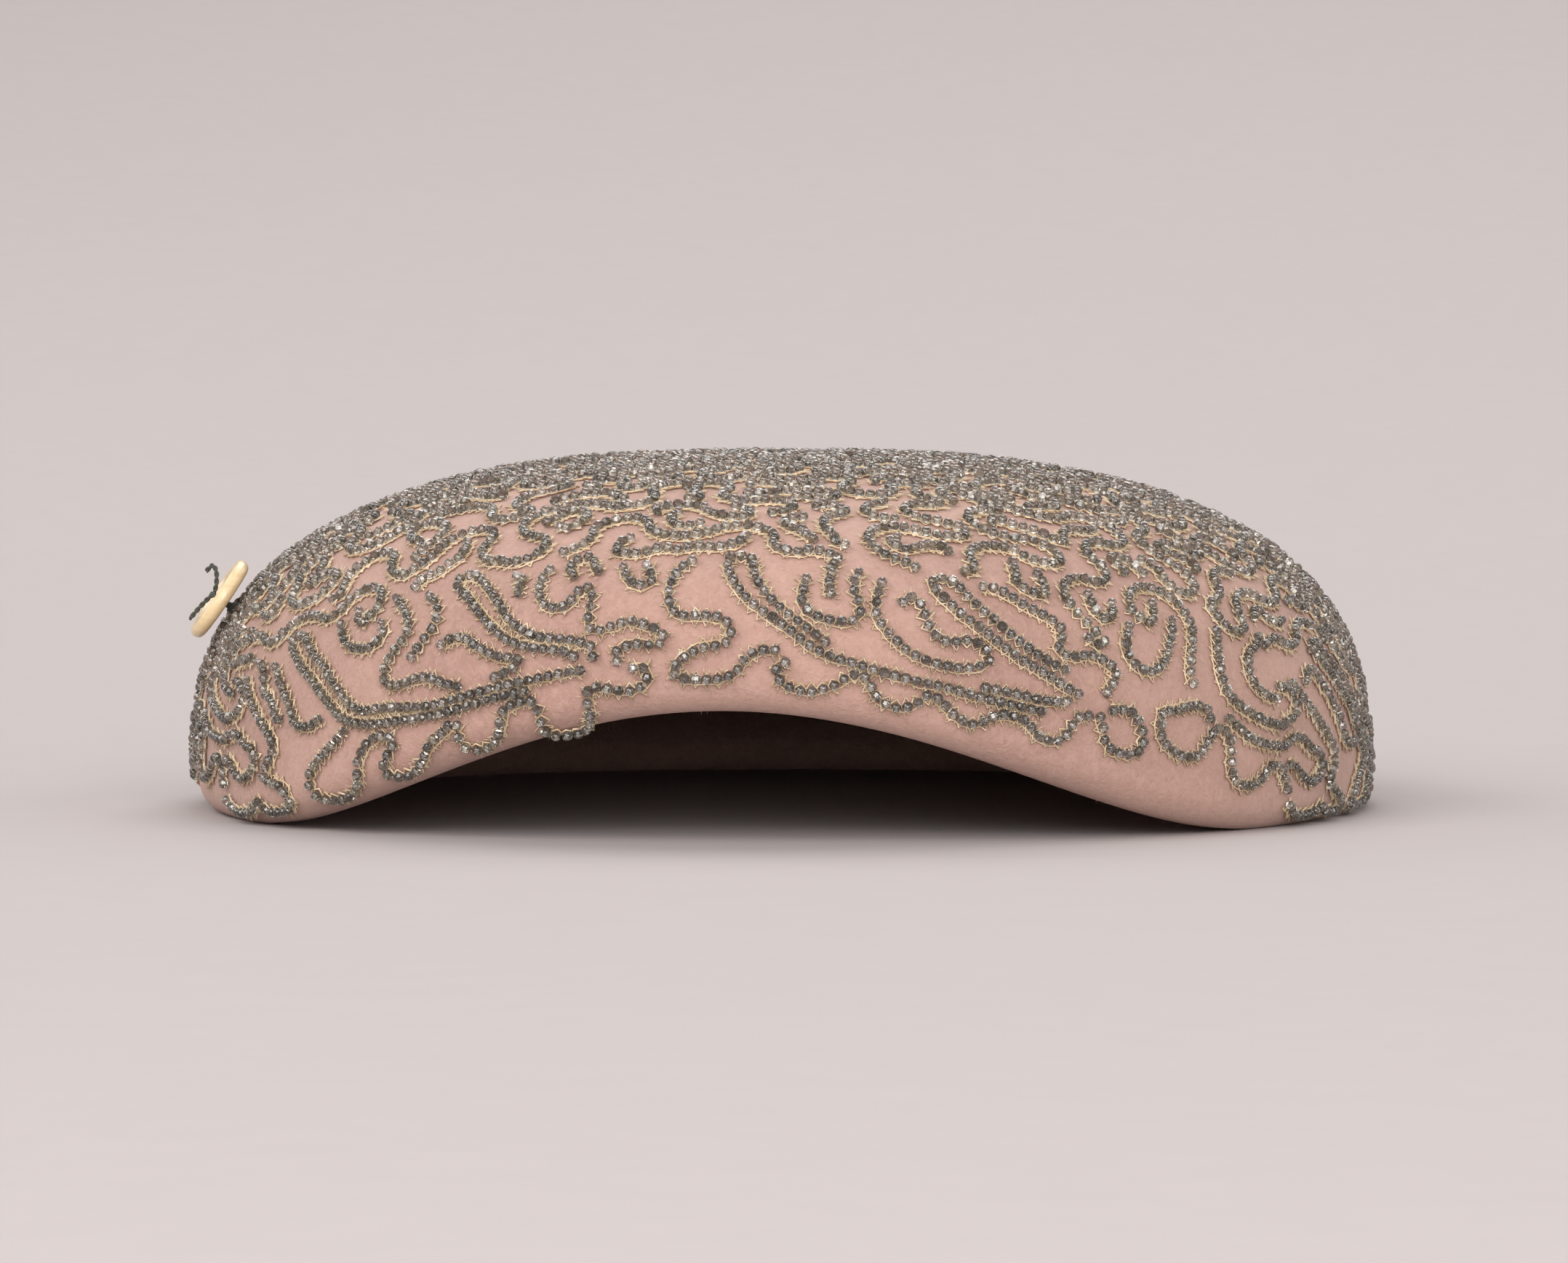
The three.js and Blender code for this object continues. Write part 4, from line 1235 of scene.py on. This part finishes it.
# %% Wander over the rest of the dome
gone_on = 0
for number in range(len(rows)):
    for _ in range(2):
        row = rows[number] = rows[number][::-1]
        (turn, up), (turn_before, up_before) = row[-1], row[-2]
        if up < GO_ON_ABOVE:
            continue
        heading = math.atan2(up - up_before, (turn - turn_before) * mm_per_radian(turn, up))
        known = sewn[np.linalg.norm(sewn - felt_form(*row[-1:].T), axis=1) > SAME_BEAD]
        ahead_row, ahead_own = wander(turn, up, heading, known)
        rows[number] = np.concatenate([row[:-1], ahead_row])
        sewn = np.concatenate([sewn, ahead_own[1:]])
        gone_on += len(ahead_row) - 1
failed, fresh = 0, 0
while failed < WANDER_TRIES:
    start = wander_draw.uniform(-math.pi, math.pi), wander_draw.uniform(WANDER_LOWEST, WANDER_HIGHEST)
    if np.linalg.norm(sewn - felt_form(*np.array([start]).T), axis=1).min() < WANDER_START_CLEARANCE:
        failed += 1
        continue
    heading = wander_draw.uniform(0, 2 * math.pi)
    ahead_row, ahead_own = wander(*start, heading, sewn)
    back_row, back_own = wander(*start, heading + math.pi, np.concatenate([sewn, ahead_own[2:]]))
    row = np.array(back_row[:0:-1] + ahead_row)
    if len(row) < SHORTEST_RUN:
        failed += 1
        continue
    rows.append(row)
    sewn = np.concatenate([sewn, back_own[1:], ahead_own])
    failed, fresh = 0, fresh + 1
runs = [felt_face(*row.T) for row in rows]
print(f"{gone_on} beads go on from charted rows; {fresh} fresh rows; {len(sewn)} beads in all")

# %% [markdown]
# ## A glass bead
# A seed bead is a slice of smoky glass tube, melted round, with a hole along the row. Eight sides and five
# rings are enough at this size once they are shaded smooth, and a dimple at each end stands for the hole.
# Some of the beads are cut: they keep their flat faces, which catch the light. The glass lets light
# through, so each bead shows the felt behind it, bent into a bright edge at the side away from the lamp.

# %% Smoke glass finish
glass = Finish("smoke_glass")
bead_tone = glass.point_value("tone")
glass_streak = glass.noise(900, detail=2)
GLASS_DARK, GLASS_PALE = colour(0.20, 0.195, 0.184), colour(0.56, 0.548, 0.520)
GLASS_STREAK = colour(0.66, 0.62, 0.52)
glass_base = glass.tint(bead_tone, GLASS_DARK, GLASS_PALE)
glass_base = glass.tint(glass_streak * 0.3, glass_base, GLASS_STREAK)
glass_material = glass.surface(
    Base_Color=glass_base,
    Roughness=0.03 + glass_streak * 0.08,
    Metallic=0.02 + bead_tone * 0.10,
    IOR=1.52,
    Transmission_Weight=0.96,
    Coat_Weight=0.4,
    Coat_Roughness=0.04,
)

# %% Shape of one bead
BEAD_SIDES = 8
BEAD_OUTLINE = (
    {"along": -0.50, "radius": 0.52},
    {"along": -0.31, "radius": 0.88},
    {"along": 0.00, "radius": 1.00},
    {"along": 0.31, "radius": 0.88},
    {"along": 0.50, "radius": 0.52},
)
DIMPLE = 0.22
bead_radius = read_column(BEAD_OUTLINE, "radius") * BEAD_DIAMETER / 2
bead_along = read_column(BEAD_OUTLINE, "along") * BEAD_LENGTH
dimples = np.array([(-DIMPLE * BEAD_LENGTH, 0, 0), (DIMPLE * BEAD_LENGTH, 0, 0)])
bead_rings = np.roll(lathe(bead_radius, bead_along, BEAD_SIDES), 1, axis=-1)
bead_points = np.concatenate([bead_rings.reshape(-1, 3), dimples])
bead_quads = grid_faces(len(BEAD_OUTLINE), BEAD_SIDES, True)[:, ::-1]
bead_ends = end_fans(len(BEAD_OUTLINE), BEAD_SIDES)[:, ::-1]
print(f"a bead has {len(bead_points)} points")

# %% String the beads
CUT_SHARE = 0.35
BEAD_TILT, BEAD_SIZES, BEAD_LIFT, TONE_SPREAD = 0.12, (0.92, 1.06), (0.05, 0.30), (2.0, 2.2)
CROWN_FROM, FRONT_HALF = 66, 60
bead_draw = np.random.default_rng(5)


def run_frames(at, off):
    """Directions along a run of beads and across it."""
    way = unit(np.gradient(at, axis=0))
    way = unit(way - off * (way * off).sum(1, keepdims=True))
    return way, np.cross(off, way)


def bead_mesh(parts):
    """Points and faces of all the beads of some runs, with each point's tone."""
    points, tones = [], []
    for at, off in parts:
        count = len(at)
        way, side = run_frames(at, off)
        tilt = bead_draw.normal(0, BEAD_TILT, (count, 2))
        way = unit(way + side * tilt[:, :1] + off * tilt[:, 1:])
        second = unit(np.cross(off, way))
        third = np.cross(way, second)
        spin = bead_draw.uniform(0, 2 * math.pi, count)[:, None]
        axis_y = second * np.cos(spin) + third * np.sin(spin)
        size = bead_draw.uniform(*BEAD_SIZES, count)[:, None]
        axes = np.stack([way * size, axis_y * size, np.cross(way, axis_y) * size], axis=1)
        lift = BEAD_DIAMETER / 2 + bead_draw.uniform(*BEAD_LIFT, count)
        points.append(((at + off * lift[:, None])[:, None] + bead_points @ axes).reshape(-1, 3))
        tones.append(np.repeat(bead_draw.beta(*TONE_SPREAD, count), len(bead_points)))
    points, tones = np.concatenate(points), np.concatenate(tones)
    step = len(bead_points)
    faces = [copied_faces(group, len(points) // step, step) for group in (bead_quads, bead_ends)]
    return points, faces, tones


def sector(at):
    """Which part of the dome a run is on."""
    x, y, z = at.mean(0)
    if z > CROWN_FROM:
        return "crown"
    turn = math.degrees(math.atan2(x, -y))
    return "front" if abs(turn) < FRONT_HALF else "left_side" if turn > 0 else "right_side"


parts = {}
for run in runs:
    parts.setdefault(sector(run[0]), []).append(run)
for part, part_runs in parts.items():
    points, faces, tones = bead_mesh(part_runs)
    beads = make_piece(f"beads_{part}", points, faces, glass_material)
    set_values(beads, "tone", tones)
    round_bead = bead_draw.uniform(size=len(points) // len(bead_points)) > CUT_SHARE
    smooth_faces = [np.repeat(round_bead, len(group)) for group in (bead_quads, bead_ends)]
    beads.data.polygons.foreach_set("use_smooth", np.concatenate(smooth_faces))

# %% [markdown]
# ## Gold thread
# Every row is laced to the felt with pale gold thread. A cord lies along the row on the side towards the
# rim, and two laces cross between the beads, one out to each side in turn, so that their tips bristle all
# along. Loose ends of thread stand out among them as thin tapered splinters.

# %% Gold thread finish
gold = Finish("gold_thread")
gold_ply = gold.noise(2400, detail=2)
gold_shade = gold.sharpen(gold.noise(210, detail=2), low=0.30, high=0.72)
GOLD_DEEP, GOLD_PALE = colour(0.52, 0.365, 0.200), colour(0.78, 0.62, 0.42)
GOLD_PLY = colour(0.88, 0.77, 0.60)
gold_base = gold.tint(gold_shade, GOLD_DEEP, GOLD_PALE)
gold_base = gold.tint(gold_ply * 0.35, gold_base, GOLD_PLY)
gold_material = gold.surface(
    Base_Color=gold_base,
    Roughness=0.38 + gold_ply * 0.2,
    Metallic=0.15 + gold_ply * 0.2,
    Sheen_Weight=0.1,
)

# %% Cord, laces and loose ends along a run of beads
CORD_RADIUS, CORD_ASIDE, CORD_LIFT, CORD_SIDES = 0.28, 1.12, 0.40, 4
CORD_MEAN, CORD_PINCH = 0.85, 0.25
LACE_RADIUS, LACE_LIFT, LACE_SIDES = 0.25, 0.55, 3
LACE_REACH = {"rim": (1.55, 2.45), "crown": (1.25, 1.90)}
CORD_WANDER, LACE_WANDER, LACE_TIP_LIFT = 0.14, 0.15, (0.2, 0.9)
SPLINTERS_PER_BEAD = 3
RIM_SIDE_SHARE = 0.65
SPLINTER_SLIDE, SPLINTER_LEAN, SPLINTER_LENGTH, SPLINTER_RISE = 1.3, 0.6, (1.0, 2.1), (0.0, 0.8)
SPLINTER_ASIDE, SPLINTER_LIFT, SPLINTER_HALF_WIDTH, SPLINTER_DEPTH = 0.9, 0.3, 0.15, 0.24
TABLE_CLEARANCE = 0.05
gold_draw = np.random.default_rng(23)


def between(row):
    """Values along a run, with one more half way between each two."""
    full = np.repeat(row, 2, axis=0)[:-1].astype(float)
    full[1::2] = (row[:-1] + row[1:]) / 2
    return full


def cord(path, sides, lifts, hand):
    """The cord along a run of beads, pinched once a stitch."""
    aside = hand * (CORD_ASIDE + gold_draw.normal(0, CORD_WANDER, len(path)))
    radius = CORD_RADIUS * (CORD_MEAN + CORD_PINCH * (-1.0) ** np.arange(len(path)))
    return tube(path + sides * aside[:, None] + lifts * CORD_LIFT, radius, CORD_SIDES)


def lace(path, sides, lifts, hand, first):
    """A thread that crosses in every gap and comes out beside one bead, then beyond the next."""
    beads = len(path) // 2 + 1
    to = (-1.0) ** (np.arange(beads) + first)
    rim_reach, crown_reach = (gold_draw.uniform(*LACE_REACH[part], beads) for part in ("rim", "crown"))
    aside = gold_draw.normal(0, LACE_WANDER, len(path))
    aside[::2] = hand * to * np.where(to > 0, rim_reach, crown_reach)
    lift = np.full(len(path), LACE_LIFT)
    lift[::2] = gold_draw.uniform(*LACE_TIP_LIFT, beads)
    return tube(path + sides * aside[:, None] + lifts * lift[:, None], LACE_RADIUS, LACE_SIDES)


def splinters(at, off, way, side, hand):
    """Thin tapered ends of thread that bristle from under the beads."""
    count = len(at) * SPLINTERS_PER_BEAD
    pick = np.repeat(np.arange(len(at)), SPLINTERS_PER_BEAD)
    to = np.where(gold_draw.uniform(size=count) < RIM_SIDE_SHARE, hand, -hand)
    slide = gold_draw.uniform(-SPLINTER_SLIDE, SPLINTER_SLIDE, count)
    lean = gold_draw.normal(0, SPLINTER_LEAN, count)
    length = gold_draw.uniform(*SPLINTER_LENGTH, count)
    rise = gold_draw.uniform(*SPLINTER_RISE, count)
    outward = unit(side[pick] * to[:, None] + way[pick] * lean[:, None])
    root = at[pick] + way[pick] * slide[:, None] + side[pick] * (to * SPLINTER_ASIDE)[:, None]
    root = root + off[pick] * SPLINTER_LIFT
    tip = root + outward * length[:, None] + off[pick] * (rise * length)[:, None]
    across = unit(np.cross(outward, off[pick])) * SPLINTER_HALF_WIDTH
    upper = off[pick] * SPLINTER_DEPTH
    points = np.stack([root - across, root + across, root + upper, tip], axis=1)
    corners = [[0, 1, 3], [1, 2, 3], [2, 0, 3], [0, 2, 1]]
    return points.reshape(-1, 3), [copied_faces(corners, *points.shape[:2])]


# %% Lay the gold thread
for part, part_runs in parts.items():
    threads, loose_ends = [], []
    for at, off in part_runs:
        way, side = run_frames(at, off)
        hand = 1.0 if side[:, 2].mean() < 0 else -1.0
        track = [between(rail) for rail in (at, side, off)]
        threads += [cord(*track, hand), lace(*track, hand, 0), lace(*track, hand, 1)]
        loose_ends.append(splinters(at, off, way, side, hand))
    points, faces = joined([joined(threads), joined(loose_ends)])
    points[:, 2] = np.maximum(points[:, 2], TABLE_CLEARANCE)
    make_piece(f"gold_thread_{part}", points, faces, gold_material)

# %% [markdown]
# ## Floor, backdrop and light
# The hat rests on a plain pale floor that is flat around it and then rises very gently on every side, like
# a huge shallow bowl, so there is no horizon from wherever the hat is seen. Two large soft lights come
# from the front, one high on the left and one low by the camera. Weaker ones fill from the right, from
# above and from both sides at the back, one more hangs over the floor behind, and the world adds an even
# pale glow.

# %% Floor and backdrop
sweep = Finish("pale_sweep")
sweep_grain = sweep.noise(60, detail=4)
FLOOR_DEEP, FLOOR_PALE = colour(0.455, 0.418, 0.416), colour(0.480, 0.441, 0.439)
sweep_material = sweep.surface(
    Base_Color=sweep.tint(sweep_grain, FLOOR_DEEP, FLOOR_PALE),
    Roughness=0.85 + sweep_grain * 0.1,
    Specular_IOR_Level=0.1,
)
FLOOR_FLAT, FLOOR_BEND, FLOOR_EDGE = 1.2, 12.0, 7.0
FLOOR_SIDES, FLOOR_RINGS = 96, 30
ring_radius = np.concatenate([[FLOOR_FLAT / 2], np.linspace(FLOOR_FLAT, FLOOR_EDGE, FLOOR_RINGS)])
ring_height = np.maximum(ring_radius - FLOOR_FLAT, 0) ** 2 / (2 * FLOOR_BEND)
sweep_points = lathe(ring_radius, ring_height, FLOOR_SIDES).reshape(-1, 3).tolist()
sweep_faces = grid_faces(len(ring_radius), FLOOR_SIDES, True).tolist() + [list(range(FLOOR_SIDES))]
sweep_mesh = bpy.data.meshes.new("pale_sweep")
sweep_mesh.from_pydata(sweep_points, [], sweep_faces)
sweep_mesh.shade_smooth()
sweep_mesh.materials.append(sweep_material)
sweep_piece = add_object("pale_sweep", sweep_mesh)

# %% Lights
BEHIND = Vector((0.0, 3.2, 0.0))
LAMP_TINT, GLOW_TINT, GLOW = (1.0, 0.97, 0.95), colour(1.0, 0.965, 0.955), 0.34
LIGHTS = (
    {"name": "key", "place": (-1.7, -2.3, 2.0), "aim": hat_centre, "size": 2.4, "power": 74},
    {"name": "front", "place": (0.5, -3.2, 0.8), "aim": hat_centre, "size": 1.9, "power": 78},
    {"name": "fill", "place": (2.2, -1.7, 1.2), "aim": hat_centre, "size": 1.8, "power": 18},
    {"name": "top", "place": (0.3, 0.7, 2.4), "aim": hat_centre, "size": 1.4, "power": 14},
    {"name": "back_right", "place": (-2.4, 1.5, 1.5), "aim": hat_centre, "size": 1.8, "power": 20},
    {"name": "back_left", "place": (2.4, 1.5, 1.5), "aim": hat_centre, "size": 1.8, "power": 16},
    {"name": "behind", "place": (0.0, 3.2, 3.0), "aim": BEHIND, "size": 3.0, "power": 80},
)
for light in LIGHTS:
    lamp = bpy.data.lights.new(light["name"], "AREA")
    lamp.size, lamp.energy, lamp.color = light["size"], light["power"], LAMP_TINT
    holder = add_object(light["name"], lamp)
    holder.location = light["place"]
    point_along(holder, light["aim"] - holder.location)
world = bpy.data.worlds.new("studio")
world.use_nodes = True
glow = world.node_tree.nodes["Background"]
glow.inputs["Color"].default_value = GLOW_TINT
glow.inputs["Strength"].default_value = GLOW
bpy.context.scene.world = world
bpy.context.scene.view_settings.view_transform = "Standard"
print(len(LIGHTS), "lights")
